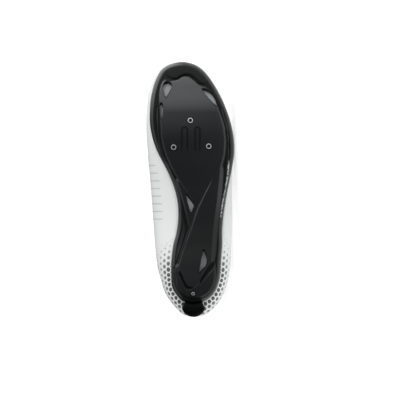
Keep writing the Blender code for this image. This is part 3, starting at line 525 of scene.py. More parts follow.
def grained(finish, kind, scale, depth, strength, **sockets):
    """A fine bump from a Noise or Wave texture or, for a net of cells, a Voronoi one."""
    net = {"feature": "DISTANCE_TO_EDGE"} if kind == "Voronoi" else {}
    sockets = {"Vector": own_place(finish), "Scale": scale, **sockets}
    texture = node(finish, "ShaderNodeTex" + kind, sockets, **net)
    bumped(finish, texture.outputs["Distance" if net else "Fac"], depth, strength)


def blend(finish, share, first, second):
    """The first colour, covered by the second where the share is 1."""
    sockets = {0: share, 6: first, 7: second}
    return node(finish, "ShaderNodeMix", sockets, data_type="RGBA").outputs[2]


def remapped(finish, value, start, stop, low=0.0, high=1.0):
    """A value moved from one range to another and held within it."""
    sockets = {"Value": value, "From Min": start, "From Max": stop, "To Min": low, "To Max": high}
    return node(finish, "ShaderNodeMapRange", sockets).outputs[0]


def attribute(finish, name):
    """A value that the piece keeps at each of its points."""
    return node(finish, "ShaderNodeAttribute", attribute_name=name).outputs["Fac"]


def arithmetic(finish, operation, a, b=0.0, c=0.0):
    """One step of arithmetic between sockets or numbers."""
    return node(finish, "ShaderNodeMath", {0: a, 1: b, 2: c}, operation=operation).outputs[0]


# %% [markdown]
# The sole is carbon fibre in epoxy, pressed in a mould and left with its gloss. The cloth lies just
# under the resin and the shine is a clear coat. The weave is a faint painted sheen: a checker of two
# blacks, tows that catch the light and tows turned from it.
# Painted shade darkens the hollows to near black and takes most of their gloss, and makes the shank
# and the heel darker and duller than the platform. A pale grey painted highlight streak runs along
# the outer edge. The piece keeps those places as values at its points.

# %% Carbon finish
carbon = plain("gloss_carbon_fibre", "191b1c", IOR=1.5, Specular_IOR_Level=0.25, Coat_Roughness=0.10)
TOW_WIDTH = 0.003
LIT_TOW, SHADED_TOW, RESIN = colour("101416"), colour("0e1214"), colour("111517")
# Painted colours: a near black for painted shade in the hollows, a pale grey for a painted highlight.
PAINTED_SHADE_BLACK, PAINTED_HIGHLIGHT_GREY = colour("030404"), colour("b4b8ba")
spot = own_place(carbon)
turned = node(carbon, "ShaderNodeMapping", {"Vector": spot, "Rotation": (0.0, radians(45), 0.0)})
# Painted sheen: the checker's two blacks stand for tows that catch the light and tows turned from it.
weave = node(carbon, "ShaderNodeTexChecker", {"Vector": turned.outputs["Vector"],
             "Scale": 1 / TOW_WIDTH, "Color1": LIT_TOW, "Color2": SHADED_TOW})
cloud = node(carbon, "ShaderNodeTexNoise", {"Vector": spot, "Scale": 60.0, "Detail": 3.0})
cloth = blend(carbon, cloud.outputs["Fac"], weave.outputs["Color"], RESIN)
# Painted shade: where the piece is marked, the cloth is covered by near black and loses most of its
# coat.
painted_shade = attribute(carbon, "painted_shade")
deep = blend(carbon, painted_shade, cloth, PAINTED_SHADE_BLACK)
grain = node(carbon, "ShaderNodeTexNoise", {"Vector": spot, "Scale": 420.0, "Detail": 3.0})
patchy = remapped(carbon, grain.outputs["Fac"], 0.38, 0.56)
# Painted highlight: a pale grey streak on the outer edge, broken up by fine noise.
share = arithmetic(carbon, "MULTIPLY", attribute(carbon, "painted_highlight_streak"), patchy)
wire(carbon, "Base Color", blend(carbon, share, deep, PAINTED_HIGHLIGHT_GREY))
wire(carbon, "Coat Weight", remapped(carbon, painted_shade, 0.0, 1.0, 1.0, 0.10))
wire(carbon, "Roughness", remapped(carbon, painted_shade, 0.0, 1.0, 0.45, 0.80))
print("carbon tow", TOW_WIDTH * 1000, "mm")

# %% [markdown]
# The underside is a relief, as the mould would press it: a raised platform for the cleat, a shank
# that runs from the outer side of the ball to the inner side of the heel, a leg that branches off
# it, and a plate under the heel. Each is a loop, and the distance from a point to the loop says how
# far up its bevel that point lies.

# %% Relief of the underside
def ramp(value, start, stop):
    """0 at start, 1 at stop, eased between."""
    t = np.clip((value - start) / (stop - start), 0, 1)
    return t * t * (3 - 2 * t)


def distances(points, loop):
    """Distance of each point to a loop, positive inside, worked out a portion at a time."""
    portions = np.array_split(points, 1 + len(points) // 2000)
    return np.concatenate([portion_distances(portion, loop) for portion in portions])


def portion_distances(points, loop):
    """Distance of each point of one portion to a loop."""
    start = np.array([tuple(point) for point in loop])
    edge = np.roll(start, -1, axis=0) - start
    away = points[:, None] - start[None]
    share = (away * edge).sum(axis=2) / (edge**2).sum(axis=1)
    gap = away - np.clip(share, 0, 1)[..., None] * edge
    near = np.sqrt((gap**2).sum(axis=2).min(axis=1))
    y = points[:, None, 1]
    crosses = (start[None, :, 1] > y) != (start[None, :, 1] + edge[None, :, 1] > y)
    safe = np.where(abs(edge[:, 1]) < 1e-12, 1e-12, edge[:, 1])
    at = start[None, :, 0] + edge[None, :, 0] * (y - start[None, :, 1]) / safe
    inside = (crosses & (points[:, None, 0] < at)).sum(axis=1) % 2 == 1
    return np.where(inside, near, -near)


def arch_slot(left, right, top, bottom, steps=12):
    """The outline of a slot bent like a narrow arch."""
    outer_end, inner_end = place((left, bottom)), place((right, bottom))
    middle = (outer_end.x + inner_end.x) / 2
    half = abs(outer_end.x - inner_end.x) / 2
    spring = top * LENGTH - half
    loop = []
    there, back = range(steps + 1), range(steps, -1, -1)
    for radius, turns in ((half, there), (half - SLOT_WIDTH, back)):
        arc = [Vector((middle + radius * cos(pi * k / steps), spring + radius * sin(pi * k / steps)))
               for k in turns]
        loop += [Vector((arc[0].x, outer_end.y))] + arc + [Vector((arc[-1].x, outer_end.y))]
    return loop


# A raised part's wall and bevel: how deep in its outline, and what share of its height is reached.
BEVEL, BEVEL_SHARES = (-0.0004, 0.0003, 0.0014), (0.0, 0.62, 1.0)
GROOVE_SOFT, POCKET_SOFT = 0.0005, 0.0013


def relief(points, rim_level):
    """Height of the flat-built underside at each point, over the plate's own underside."""
    level = rim_level.copy()
    for shape, drop in (
        (PLATFORM, PLATFORM_DROP), (MEDIAL_LEG, LEG_DROP), (HEEL_PLATE, HEEL_PLATE_DROP)
    ):
        raised = drop * np.interp(distances(points, rounded(shape)), BEVEL, BEVEL_SHARES)
        level = np.minimum(level, np.where(raised > 0, -raised, np.inf))
    foot = distances(points, [place(share) for share in SHANK_FOOT])
    crest = distances(points, [place(share) for share in SHANK_CREST])
    slope = np.clip(foot / np.maximum(foot - crest, 1e-6), 0, 1)
    drop = PLATFORM_DROP + (SHANK_DROP - PLATFORM_DROP) * ramp(points[:, 1] / LENGTH, 0.60, 0.48)
    level = np.minimum(level, np.where(foot > 0, -drop * slope, np.inf))
    carved = [(rounded(shape), GROOVE_DEPTH, GROOVE_SOFT) for shape in GROOVES]
    carved += [(rounded(shape, 2), POCKET_LEVEL, POCKET_SOFT) for shape in HEEL_POCKETS]
    for loop, floor, soft in carved:
        share = np.clip(distances(points, loop) / soft + 0.5, 0, 1)
        level = level + np.maximum(floor - level, 0) * share
    return level


# %% [markdown]
# The sole is one shell: the underside, the rounded rim, and the plain floor that carries the insole.
# Rows run from the middle line out to the rim, over it and back. The vents and the seats of the
# inserts are cut through afterwards, so that their edges stay crisp.

# %% Carbon sole
RIM_DEPTHS = [0.0044, 0.0038, 0.0032, 0.0026, 0.0021, 0.0016, 0.0012, 0.0008, 0.0005, 0.0003,
              0.0001]
RIM_SIDE = [(0.0050, 0.0), (0.0036, 0.0004), (0.0022, 0.0013), (0.0010, 0.0029), (0.0003, 0.0048),
            (0.0, 0.0066)]
RIM_SIDE_ROWS = sorted(RIM_SIDE)
UNDER_ROWS = 80
FLOOR_SHARES = [0.98, 0.8, 0.6, 0.4, 0.2, 0.0]


def along_rays(out):
    """Points at a distance out along every half section."""
    return ORIGINS + WAYS * out[:, None]


def lifted_rows(rows):
    """A grid from rows of (distance out, height over the sole's underside), on the bent sole."""
    spots = np.zeros((len(ORIGINS), len(rows), 3))
    for j, (out, height) in enumerate(rows):
        flat = along_rays(out)
        spots[:, j, :2] = flat
        spots[:, j, 2] = height + rise(flat[:, 0], flat[:, 1])
    return spots


def sole_spots():
    """The sole's grid: one column for each half section."""
    band, edge, inner = (reaches(inset(SOLE_OUTLINE, depth)) for depth in (RIM_BAND, 0.0, RIM_WALL))
    rows = [(band * k / UNDER_ROWS, 0.0) for k in range(UNDER_ROWS + 1)]
    rows += [(reaches(inset(SOLE_OUTLINE, depth)), curve(RIM_SIDE_ROWS, depth))
             for depth in RIM_DEPTHS]
    rows.append((edge, RIM_SIDE[-1][1]))
    ground = np.concatenate([along_rays(out) for out, height in rows])
    base = np.repeat([height for out, height in rows], len(ORIGINS))
    levels = relief(ground, base).reshape(len(rows), -1)
    rows += [(edge - 0.0002, RIM_HEIGHT - 0.0002), (edge - 0.0005, RIM_HEIGHT),
             (inner + 0.0003, RIM_HEIGHT), (inner, RIM_HEIGHT - 0.0003), (inner, PLATE_THICK)]
    rows += [(inner * share, PLATE_THICK) for share in FLOOR_SHARES]
    return lifted_rows([(out, levels[j] if j < len(levels) else height)
                        for j, (out, height) in enumerate(rows)])


VENT_LEAN = 0.42
TOOL_BELOW, VENT_ABOVE, SLOT_ABOVE = 0.004, 0.007, 0.0009


def leaning_tool(loop, above, lean):
    """A closed cutting tool: a loop on the platform's face, pulled in and leaning to the heel."""
    middle = sum(loop, Vector((0, 0))) / len(loop)
    face = float(rise(middle.x, middle.y)) - PLATFORM_DROP
    bm = bmesh.new()
    base = bm.faces.new([bm.verts.new((point.x, point.y + lean * TOOL_BELOW, face - TOOL_BELOW))
                         for point in loop])
    pulled = bmesh.ops.extrude_face_region(bm, geom=[base])
    top = [item for item in pulled["geom"] if isinstance(item, bmesh.types.BMVert)]
    tall = TOOL_BELOW + above
    bmesh.ops.translate(bm, verts=top, vec=(0, -lean * tall, tall))
    bmesh.ops.recalc_face_normals(bm, faces=bm.faces[:])
    return bm


def seat_frame(spot, level):
    """Where a fitting sits on the bent sole, square to it."""
    at, step = place(spot), 0.0003
    tilt_x = float(rise(at.x + step, at.y) - rise(at.x - step, at.y)) / (2 * step)
    tilt_y = float(rise(at.x, at.y + step) - rise(at.x, at.y - step)) / (2 * step)
    up = Vector((-tilt_x, -tilt_y, 1)).normalized()
    forward = (Vector((0, 1, 0)) - up * up.y).normalized()
    turn = Matrix((forward.cross(up), forward, up)).transposed().to_4x4()
    return Matrix.Translation((at.x, at.y, level + float(rise(at.x, at.y)))) @ turn


def cut(piece, bm):
    """Cuts a tool out of a piece."""
    tool = placed("tool", as_mesh("tool", bm))
    cutter = piece.modifiers.new("cut", "BOOLEAN")
    cutter.operation, cutter.solver, cutter.object = "DIFFERENCE", "EXACT", tool
    bpy.context.view_layer.update()
    seen = piece.evaluated_get(bpy.context.evaluated_depsgraph_get())
    carved = bpy.data.meshes.new_from_object(seen)
    piece.modifiers.clear()
    piece.data = carved
    bpy.data.objects.remove(tool, do_unlink=True)


SHARP_CREASE = 50
sole = finished("carbon_sole", laid_grid(sole_spots()), [carbon], SHARP_CREASE)
tools = bmesh.new()
holes = [(rounded(shape, 6), VENT_ABOVE, VENT_LEAN) for shape in VENTS]
holes += [(arch_slot(*slot), SLOT_ABOVE, 0.0) for slot in SLOTS]
for loop, above, lean in holes:
    tools.from_mesh(as_mesh("hole", leaning_tool(loop, above, lean)))
SEAT_STEPS = 48
BORE_RADIUS, BORE_DEPTH = 0.0019, 0.0048
seats = [(spot, INSERT_RADIUS, -PLATFORM_DROP, INSERT_THICK) for spot in INSERTS.values()]
seats += [(spot, BORE_RADIUS, -PLATFORM_DROP, BORE_DEPTH) for spot in INSERTS.values()]
seats.append((SCREW_PLACE, SCREW_RADIUS, -HEEL_PLATE_DROP, SCREW_THICK))
for spot, radius, level, thick in seats:
    tall = thick + FIT + 0.002
    middle = seat_frame(spot, level) @ Matrix.Translation((0, 0, thick + FIT - tall / 2))
    bmesh.ops.create_cone(tools, cap_ends=True, segments=SEAT_STEPS, radius1=radius + FIT,
                          radius2=radius + FIT, depth=tall, matrix=middle)
tools.transform(TO_WORLD)
cut(sole, tools)
sole.data.set_sharp_from_angle(angle=radians(SHARP_CREASE))
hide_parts("sole_shell")

BACK = TO_WORLD.inverted()


def drawn_places(piece):
    """The points of a piece in the upright frame it was drawn in."""
    return np.array([tuple(BACK @ vert.co) for vert in piece.data.vertices])


def mark(piece, name, values):
    """Stores a value for each point of a piece, for its material to read."""
    kept = piece.data.attributes.new(name, "FLOAT", "POINT")
    kept.data.foreach_set("value", np.asarray(values, dtype=np.float32))


def depth_in(points, loops):
    """How deep each point lies in the nearest of some loops, negative outside them."""
    return np.maximum.reduce([distances(points, loop) for loop in loops])


CREASE_WIDE, DULL_SHARE, SLOT_SHARE = 0.0006, 0.55, 0.6
sole_points = drawn_places(sole)
flat = sole_points[:, :2]
over_sole = sole_points[:, 2] - rise(flat[:, 0], flat[:, 1])
under = over_sole < PLATE_THICK / 2
edge_depth = distances(flat, SOLE_OUTLINE)
along = flat[:, 1] / LENGTH
raised_parts = [rounded(shape) for shape in (PLATFORM, MEDIAL_LEG, HEEL_PLATE)]
raised_parts.append([place(share) for share in SHANK_FOOT])
# Painted shade: near black and matte in the valleys by the raised parts and the rim, in the grooves,
# pockets and slots and on the vent walls; the shank and the heel get part of it as well.
valley = ramp(-depth_in(flat, raised_parts), 0.0, CREASE_WIDE) * ramp(edge_depth, 0.0034, 0.0044)
grooved = np.maximum(depth_in(flat, [rounded(shape) for shape in GROOVES]),
                     depth_in(flat, [rounded(shape, 2) for shape in HEEL_POCKETS]) - 0.0002)
slotted = SLOT_SHARE * ramp(depth_in(flat, [arch_slot(*slot) for slot in SLOTS]), -0.0003, -0.0001)
carved = np.maximum(ramp(grooved, -CREASE_WIDE, 0.0001), slotted)
dull = DULL_SHARE * ramp(along, 0.50, 0.36) * ramp(edge_depth, 0.0030, 0.0050)
vent_rims = ramp(depth_in(flat, [rounded(shape, 6) for shape in VENTS]), -0.0004, -0.0001)
vent_rims = vent_rims * (over_sole < PLATE_THICK + 0.0005)
mark(sole, "painted_shade", np.maximum(np.maximum.reduce([valley, carved, dull]) * under, vent_rims))
# The painted highlight streak moves inwards from the waist to the ball.
STREAK_DEPTH, STREAK_SHIFT = 0.0029, 0.0022
streak = STREAK_DEPTH + STREAK_SHIFT * ramp(along, 0.53, 0.62)
painted_highlight_streak = 1 - ramp(abs(edge_depth - streak), 0.0005, 0.0011)
painted_highlight_streak *= ramp(along, 0.385, 0.40) * ramp(along, 0.62, 0.60) * (flat[:, 0] < 0) * under
mark(sole, "painted_highlight_streak", painted_highlight_streak)
print("carbon sole", len(sole.data.polygons), "faces after its cuts")

# %% [markdown]
# The upper is pulled over a last, a solid foot. Each half section of the last flares out from the
# sole's rim to its widest line and then arches up to the ridge. The collar and the throat cut the
# arch off, and the corner between them is eased.

# %% Sections of the last
class Section:
    """One upright half section of the last."""

    def __init__(self, origin, direction, feather, widest):
        self.origin, self.direction, self.feather, self.widest = origin, direction, feather, widest
        foot, side = origin + direction * feather, origin + direction * widest
        here, beside = origin.y / LENGTH, side.y / LENGTH
        self.floor_z = float(rise(foot.x, foot.y)) + PLATE_THICK + FIT
        self.feather_z = float(rise(foot.x, foot.y)) + RIM_HEIGHT + FIT
        column = "widest_in" if direction.x > 0 else "widest_out"
        self.widest_z = float(rise(0, side.y)) + read(LAST, column, beside) * INSTEP_HEIGHT
        self.ridge_z = float(rise(0, origin.y)) + read(LAST, "ridge", here) * INSTEP_HEIGHT
        self.power = 2 / read(LAST, "round", here)
        self.lean = read(LAST, "lean", beside)
        self.collar_z = read(TOPLINE, "collar", beside) * HEEL_HEIGHT
        self.gap = read(TOPLINE, "gap", here) * BALL_WIDTH
        self.ahead = max(direction.y, 0.0)

    def at(self, out, height):
        ground = self.origin + self.direction * out
        return Vector((ground.x, ground.y, height))

    def flare(self, share):
        out = self.feather + (self.widest - self.feather) * (1 - (1 - share) ** 2)
        return self.at(out, self.feather_z + (self.widest_z - self.feather_z) * share)

    def arch(self, angle):
        height = self.widest_z + (self.ridge_z - self.widest_z) * sin(angle) ** self.power
        tipped = (height - self.widest_z) / (self.collar_z - self.widest_z)
        leaned = 1 - self.lean * min(max(tipped, 0), 1.2) ** 2
        out = self.widest * cos(angle) ** self.power * leaned
        height += RIDGE_SLOPE * out * self.ahead * (1 - out / self.widest)
        return self.at(out, height)

    def angle_where(self, passed):
        """The first angle of the arch where a test holds, or a quarter turn."""
        low, high = 0.0, pi / 2
        if not passed(self.arch(high)):
            return high
        for _ in range(30):
            middle = (low + high) / 2
            low, high = (low, middle) if passed(self.arch(middle)) else (middle, high)
        return high

    def angle_out(self, gap):
        """The angle where the arch is a given distance from the middle line."""
        return self.angle_where(lambda point: (point.xy - self.origin).length <= gap)

    def top(self):
        collar = self.angle_where(lambda point: point.z >= self.collar_z)
        if self.gap <= 0 and collar >= pi / 2:
            return pi / 2
        throat = self.angle_out(self.gap)
        sharp = CORNER_SHARPNESS
        return -log(exp(-sharp * collar) + exp(-sharp * throat)) / sharp


def ridge_height(along):
    return float(rise(0, along * LENGTH)) + read(LAST, "ridge", along) * INSTEP_HEIGHT


RIDGE_STEP = 0.01
ridge_rise = ridge_height(TOE_CENTRE) - ridge_height(TOE_CENTRE - RIDGE_STEP)
RIDGE_SLOPE = ridge_rise / (RIDGE_STEP * LENGTH)


def sections_on(origins, ways):
    """Sections on any rays."""
    spots = np.array([tuple(origin) for origin in origins])
    turns = np.array([tuple(way) for way in ways])
    feathers, sides = reaches(FEATHER_OUTLINE, spots, turns), reaches(SIDE_OUTLINE, spots, turns)
    return [Section(origin, way, float(a), float(b))
            for origin, way, a, b in zip(origins, ways, feathers, sides)]


SECTIONS = sections_on([origin for origin, ray in ROUND_RAYS], [ray for origin, ray in ROUND_RAYS])
TOPS = [section.top() for section in SECTIONS]
print(len(SECTIONS), "sections, open at", sum(top < pi / 2 for top in TOPS))

# %% [markdown]
# The wall of a shoe isn't even: it is thin over the foot and padded at the collar. The panels that
# are stitched or welded on stand half a millimetre proud. So the outer face is computed first, then
# moved along its own normals: outwards for a panel, inwards for the lining.

# %% Faces of the upper
FLARE_ROWS, ARCH_ROWS, ROLL_ROWS = 16, 44, 6
COLLAR_EDGE, THROAT_EDGE = 0.0042, 0.0024


def normals_of(spots):
    """Outward normals of a closed grid of points."""
    across = np.roll(spots, -1, axis=0) - np.roll(spots, 1, axis=0)
    up = np.gradient(spots, axis=1)
    normal = np.cross(across, up)
    size = np.linalg.norm(normal, axis=2, keepdims=True)
    return normal / np.maximum(size, 1e-12)


outer_spots = np.zeros((len(SECTIONS), FLARE_ROWS + ARCH_ROWS + 2, 3))
for i, (section, top) in enumerate(zip(SECTIONS, TOPS)):
    low = section.at(section.feather, section.floor_z)
    column = [low] + [section.flare(k / FLARE_ROWS) for k in range(FLARE_ROWS)]
    column += [section.arch(top * k / ARCH_ROWS) for k in range(ARCH_ROWS + 1)]
    outer_spots[i] = [tuple(point) for point in column]

OPEN = np.array([top < pi / 2 - 1e-6 for top in TOPS])
edge_line = outer_spots[OPEN][:, -1]
edge_line_of_throat = edge_line[edge_line[:, 1] > 0.6 * LENGTH][::4]
flat = outer_spots.reshape(-1, 3)
edge_gap = np.array([np.sqrt(((edge_line - point) ** 2).sum(axis=1).min()) for point in flat])
edge_gap = edge_gap.reshape(outer_spots.shape[:2])
steps = np.linalg.norm(np.diff(outer_spots, axis=1), axis=2)
climb = np.concatenate([np.zeros((len(SECTIONS), 1)), np.cumsum(steps, axis=1)], axis=1)
climb -= climb[:, 1:2]
ALONG = outer_spots[..., 1] / LENGTH


PANEL_STEP, COUNTER_STEP, COLLAR_STEP = 0.0006, 1.8, 0.0005
THROAT_BAND, COLLAR_BAND = 0.0115, 0.0075
COLLAR_PAD, EDGE_EASE = 0.0032, 0.006
counter_top = np.interp(ALONG, [0.0, 0.10, 0.22, 0.34], [0.044, 0.040, 0.026, 0.0])
toe_top = np.interp(ALONG, [0.78, 0.88, 0.96, 1.0], [0.0, 0.010, 0.017, 0.019])
heel_counter = (counter_top - climb) * ramp(ALONG, 0.36, 0.33)
toe_cap = toe_top - climb
throat_band = (THROAT_BAND - edge_gap) * ramp(ALONG, 0.36, 0.40)
collar_band = (COLLAR_BAND - edge_gap) * ramp(ALONG, 0.44, 0.40)
quarter = (0.655 - 0.9 * climb) * LENGTH - outer_spots[..., 1]


def raised(field, soft=0.0009):
    """1 inside a panel, 0 outside, with a soft edge."""
    return ramp(field, 0.0, soft)


panels = [raised(quarter), raised(throat_band), raised(toe_cap), raised(heel_counter) * COUNTER_STEP]
lift = PANEL_STEP * np.maximum.reduce(panels) + COLLAR_STEP * raised(collar_band, 0.0015)
lift *= ramp(climb, 0.0005, 0.0025)
outer_normals = normals_of(outer_spots)
dressed = outer_spots + outer_normals * lift[..., None]
padding = COLLAR_PAD * ramp(edge_gap, 0.040, 0.012) * ramp(ALONG, 0.46, 0.38)
depth = UPPER_WALL + padding
edge_size = THROAT_EDGE + (COLLAR_EDGE - THROAT_EDGE) * ramp(ALONG, 0.46, 0.38)
near_edge = edge_size + (depth - edge_size) * ramp(edge_gap, 0.0, EDGE_EASE)
depth = np.where(edge_gap < EDGE_EASE, near_edge, depth)
closed_in = outer_spots - outer_normals * depth[..., None]
print("upper faces laid,", outer_spots.shape)

# %% [markdown]
# The upper's three skins are laid as grids and welded: the outer face, the lining and, where the
# shoe is open, the rolled edge between them. The outer face carries a map in metres, how far round
# and how high, for the print on it.

# %% Upper skins
MAP_NAME = "round_the_shoe"


def skin(spots, closed, finish, map_spots=None):
    """A grid of points as a mesh with one finish and, if one is given, its map in metres."""
    def add_map(bm, wide, tall):
        layer = bm.loops.layers.uv.new(MAP_NAME)
        for face in bm.faces:
            for loop in face.loops:
                i = round((loop.vert.co.x + 0.5) * wide)
                loop[layer].uv = map_spots[i][round((loop.vert.co.y + 0.5) * tall)]

    bm = carried_grid(spots, closed, None if map_spots is None else add_map)
    for face in bm.faces:
        face.material_index = finish
    return as_mesh("skin", bm)


def weld(meshes, gap=2 * SAME_POINT):
    """Joins meshes and merges the points that meet."""
    bm = bmesh.new()
    for mesh in meshes:
        bm.from_mesh(mesh)
        bpy.data.meshes.remove(mesh)
    bmesh.ops.remove_doubles(bm, verts=bm.verts[:], dist=gap)
    bmesh.ops.dissolve_degenerate(bm, edges=bm.edges[:], dist=1e-6)
    return bm


PRINT_PITCH = 0.0066
widest_line = np.array([tuple(s.origin + s.direction * s.widest) for s in SECTIONS])
round_steps = np.linalg.norm(np.roll(widest_line, -1, axis=0) - widest_line, axis=1)
round_way = np.concatenate([[0.0], np.cumsum(round_steps)])
round_way *= round(round_way[-1] / PRINT_PITCH) * PRINT_PITCH / round_way[-1]
map_spots = np.stack([
    np.repeat(round_way[:, None], outer_spots.shape[1], axis=1),
    np.concatenate([climb, climb[:1]]),
], axis=2)

lip = dressed[:, -1], closed_in[:, -1]
half_lip = (lip[0] - lip[1]) / 2
lip_up = dressed[:, -1] - dressed[:, -3]
lip_up /= np.maximum(np.linalg.norm(lip_up, axis=1, keepdims=True), 1e-9)
lip_size = np.linalg.norm(half_lip, axis=1, keepdims=True)
roll = np.stack([
    (lip[0] + lip[1]) / 2 + half_lip * cos(pi * k / ROLL_ROWS)
    + lip_up * lip_size * sin(pi * k / ROLL_ROWS)
    for k in range(ROLL_ROWS + 1)
], axis=1)
print("rolled edge", round(float(lip_size[OPEN].max()) * 2000, 1), "mm thick")
first = int(np.argmin(OPEN))
last = len(OPEN) - int(np.argmin(OPEN[::-1]))
order = list(range(last, len(OPEN))) + list(range(first))
ends = [last - 1] + order + [first]
skins = [
    skin(dressed, True, 0, map_spots),
    skin(closed_in[:, ::-1], True, 1),
    skin(roll[ends], False, 0),
    skin(np.stack([closed_in[:, 0], dressed[:, 0]], axis=1), True, 0),
]

# %% [markdown]
# The outer face is a white coated microfibre: thin leather-like cloth under a smooth film. Round the
# heel it carries a print of dark hexagons that get smaller and paler away from the sole. The map in
# metres lets two staggered rows of cells be measured out, and each cell's size follows the height.

# %% Finishes of the upper
WHITE_FILM, INK = colour("e3e5e5"), colour("2b2e30")
SLIT_SHADE, HOLE_SHADE = colour("8e9193"), colour("4c4f51")
CELL_SIZE, CELL_SOFT = 0.43, 0.04
SLIT_PITCH, SLIT_WIDE, SLIT_FIRST, SLIT_COUNT = 0.0084, 0.0010, 0.1070, 8
HOLE_PITCH, HOLE_SIZE, HOLE_SOFT = 0.0052, 0.13, 0.03
SLIT_COVER, HOLE_COVER, PEBBLE_SHARE = 0.32, 0.9, 0.06
microfibre = plain("white_coated_microfibre", "e3e5e5", Roughness=0.42, IOR=1.45, Coat_Weight=0.15,
                   Coat_Roughness=0.3)
film = own_place(microfibre)
pebble = node(microfibre, "ShaderNodeTexVoronoi", {"Vector": film, "Scale": 900.0}, feature="F1")
step = partial(arithmetic, microfibre)


def vectors(operation, a, b=(0, 0, 0)):
    """One step of vector arithmetic in the upper's finish."""
    return node(microfibre, "ShaderNodeVectorMath", {0: a, 1: b}, operation=operation).outputs[0]


def row_gap(shift, pitch):
    """Distance to the nearest cell's middle in one of two staggered sets of rows, in pitches."""
    rows = node(microfibre, "ShaderNodeUVMap", uv_map=MAP_NAME).outputs["UV"]
    cells = vectors("DIVIDE", rows, (pitch, pitch * sqrt(3), 1.0))
    cells = vectors("ADD", cells, (shift, shift, 0.0))
    inside = vectors("SUBTRACT", vectors("FRACTION", cells), (0.5, 0.5, 0.0))
    ways = node(microfibre, "ShaderNodeSeparateXYZ", {0: vectors("ABSOLUTE", inside)})
    x, y = ways.outputs["X"], step("MULTIPLY", ways.outputs["Y"], sqrt(3))
    return step("MAXIMUM", x, step("MULTIPLY_ADD", y, sqrt(3) / 2, step("MULTIPLY", x, 0.5)))


def hexagon_gap(pitch):
    """Distance to the middle of the nearest cell of a field of hexagons, in pitches."""
    return step("MINIMUM", row_gap(0.0, pitch), row_gap(0.5, pitch))


strength = attribute(microfibre, "print_size")
inside_cell = step("SUBTRACT", step("MULTIPLY", strength, CELL_SIZE), hexagon_gap(PRINT_PITCH))
inked = remapped(microfibre, inside_cell, 0.0, CELL_SOFT)
printed = blend(microfibre, step("MULTIPLY", inked, step("MULTIPLY_ADD", strength, 0.95, 0.05)),
                WHITE_FILM, INK)
to_toe = TO_WORLD.to_3x3() @ Vector((0, 1, 0))
along_toe = node(microfibre, "ShaderNodeVectorMath", {0: film, 1: to_toe},
                 operation="DOT_PRODUCT").outputs["Value"]
first_slit = to_toe.dot(TO_WORLD.translation) + SLIT_FIRST - SLIT_PITCH / 2
turn = step("DIVIDE", step("SUBTRACT", along_toe, first_slit), SLIT_PITCH)
counted = step("MULTIPLY", step("GREATER_THAN", turn, 0.0),
               step("LESS_THAN", turn, float(SLIT_COUNT)))
off_middle = step("ABSOLUTE", step("SUBTRACT", step("FRACT", turn), 0.5))
slit = remapped(microfibre, off_middle, SLIT_WIDE / SLIT_PITCH, SLIT_WIDE / SLIT_PITCH / 3)
slit = step("MULTIPLY", step("MULTIPLY", slit, counted), attribute(microfibre, "slit_zone"))
hole = remapped(microfibre, hexagon_gap(HOLE_PITCH), HOLE_SIZE + HOLE_SOFT, HOLE_SIZE)
hole = step("MULTIPLY", hole, step("GREATER_THAN", attribute(microfibre, "hole_zone"), 0.5))
# Painted shade: the slits and the holes are only pressed in by the bump, and painted darker inside.
slitted = blend(microfibre, step("MULTIPLY", slit, SLIT_COVER), printed, SLIT_SHADE)
pierced = blend(microfibre, step("MULTIPLY", hole, HOLE_COVER), slitted, HOLE_SHADE)
wire(microfibre, "Base Color", pierced)
fine = step("MULTIPLY", pebble.outputs["Distance"], PEBBLE_SHARE)
bumped(microfibre, step("SUBTRACT", fine, step("MAXIMUM", slit, hole)), 0.0006, 0.6)

lining = plain("grey_spacer_mesh_lining", "b9bcbd", Roughness=0.85, Sheen_Weight=0.3)
MESH_PITCH = 0.0022
grained(lining, "Voronoi", 1 / MESH_PITCH, 0.0004, 0.6)

upper = finished("upper_shell", weld(skins), [microfibre, lining], sharp=60)
upper_points = drawn_places(upper)
x, y, z = upper_points.T
over_rim = z - rise(x, y) - RIM_HEIGHT
mark(upper, "print_size", ramp(over_rim, 0.027, -0.002) * ramp(y / LENGTH, 0.36, 0.17))
side_band = ramp(distances(upper_points[:, :2], SIDE_OUTLINE), 0.0106, 0.0088) * (x > 0)
mark(upper, "slit_zone", side_band * ramp(over_rim, 0.005, 0.008) * ramp(over_rim, 0.034, 0.031))
throat_gap = np.full(len(upper_points), np.inf)
for point in edge_line_of_throat:
    throat_gap = np.minimum(throat_gap, np.linalg.norm(upper_points - point, axis=1))
vamp = (y > 0.68 * LENGTH) & (y < 0.90 * LENGTH) & (over_rim > 0.020) & (throat_gap > 0.016)
mark(upper, "hole_zone", vamp)
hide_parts("upper")
loose = bmesh.new()
loose.from_mesh(upper.data)
open_edges = sum(not edge.is_manifold for edge in loose.edges)
loose.free()
print("upper open edges", open_edges)

# %% [markdown]
# The small parts are swept or turned. A closed ring of points is carried along a row of places, and
# the ends draw together to a point, so that every part is a closed solid with eased edges.

# %% Helpers for the small parts
def eased(share, power):
    """1 in the middle of -1..1, falling round to 0 at both ends."""
    return np.sqrt(np.clip(1 - np.abs(share) ** power, 0, 1))


def boxy(turns, power=0.55):
    """The two ways of a rounded box, for turns round it."""
    c, s = np.cos(turns), np.sin(turns)
    return np.sign(c) * np.abs(c) ** power, np.sign(s) * np.abs(s) ** power


def swept(name, spots, finishes, node_name, finish_at=None):
    """A closed ring of points carried along rows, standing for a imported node."""
    piece = finished(name, laid_grid(spots, finish_at), finishes, sharp=60)
    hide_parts(node_name)
    return piece


def surface_normals(spots, toward):
    """Normals of an open grid of points, all on the side that toward points to."""
    normal = np.cross(np.gradient(spots, axis=0), np.gradient(spots, axis=1))
    normal /= np.maximum(np.linalg.norm(normal, axis=2, keepdims=True), 1e-12)
    return normal * np.where((normal * toward).sum(axis=2, keepdims=True) < 0, -1, 1)


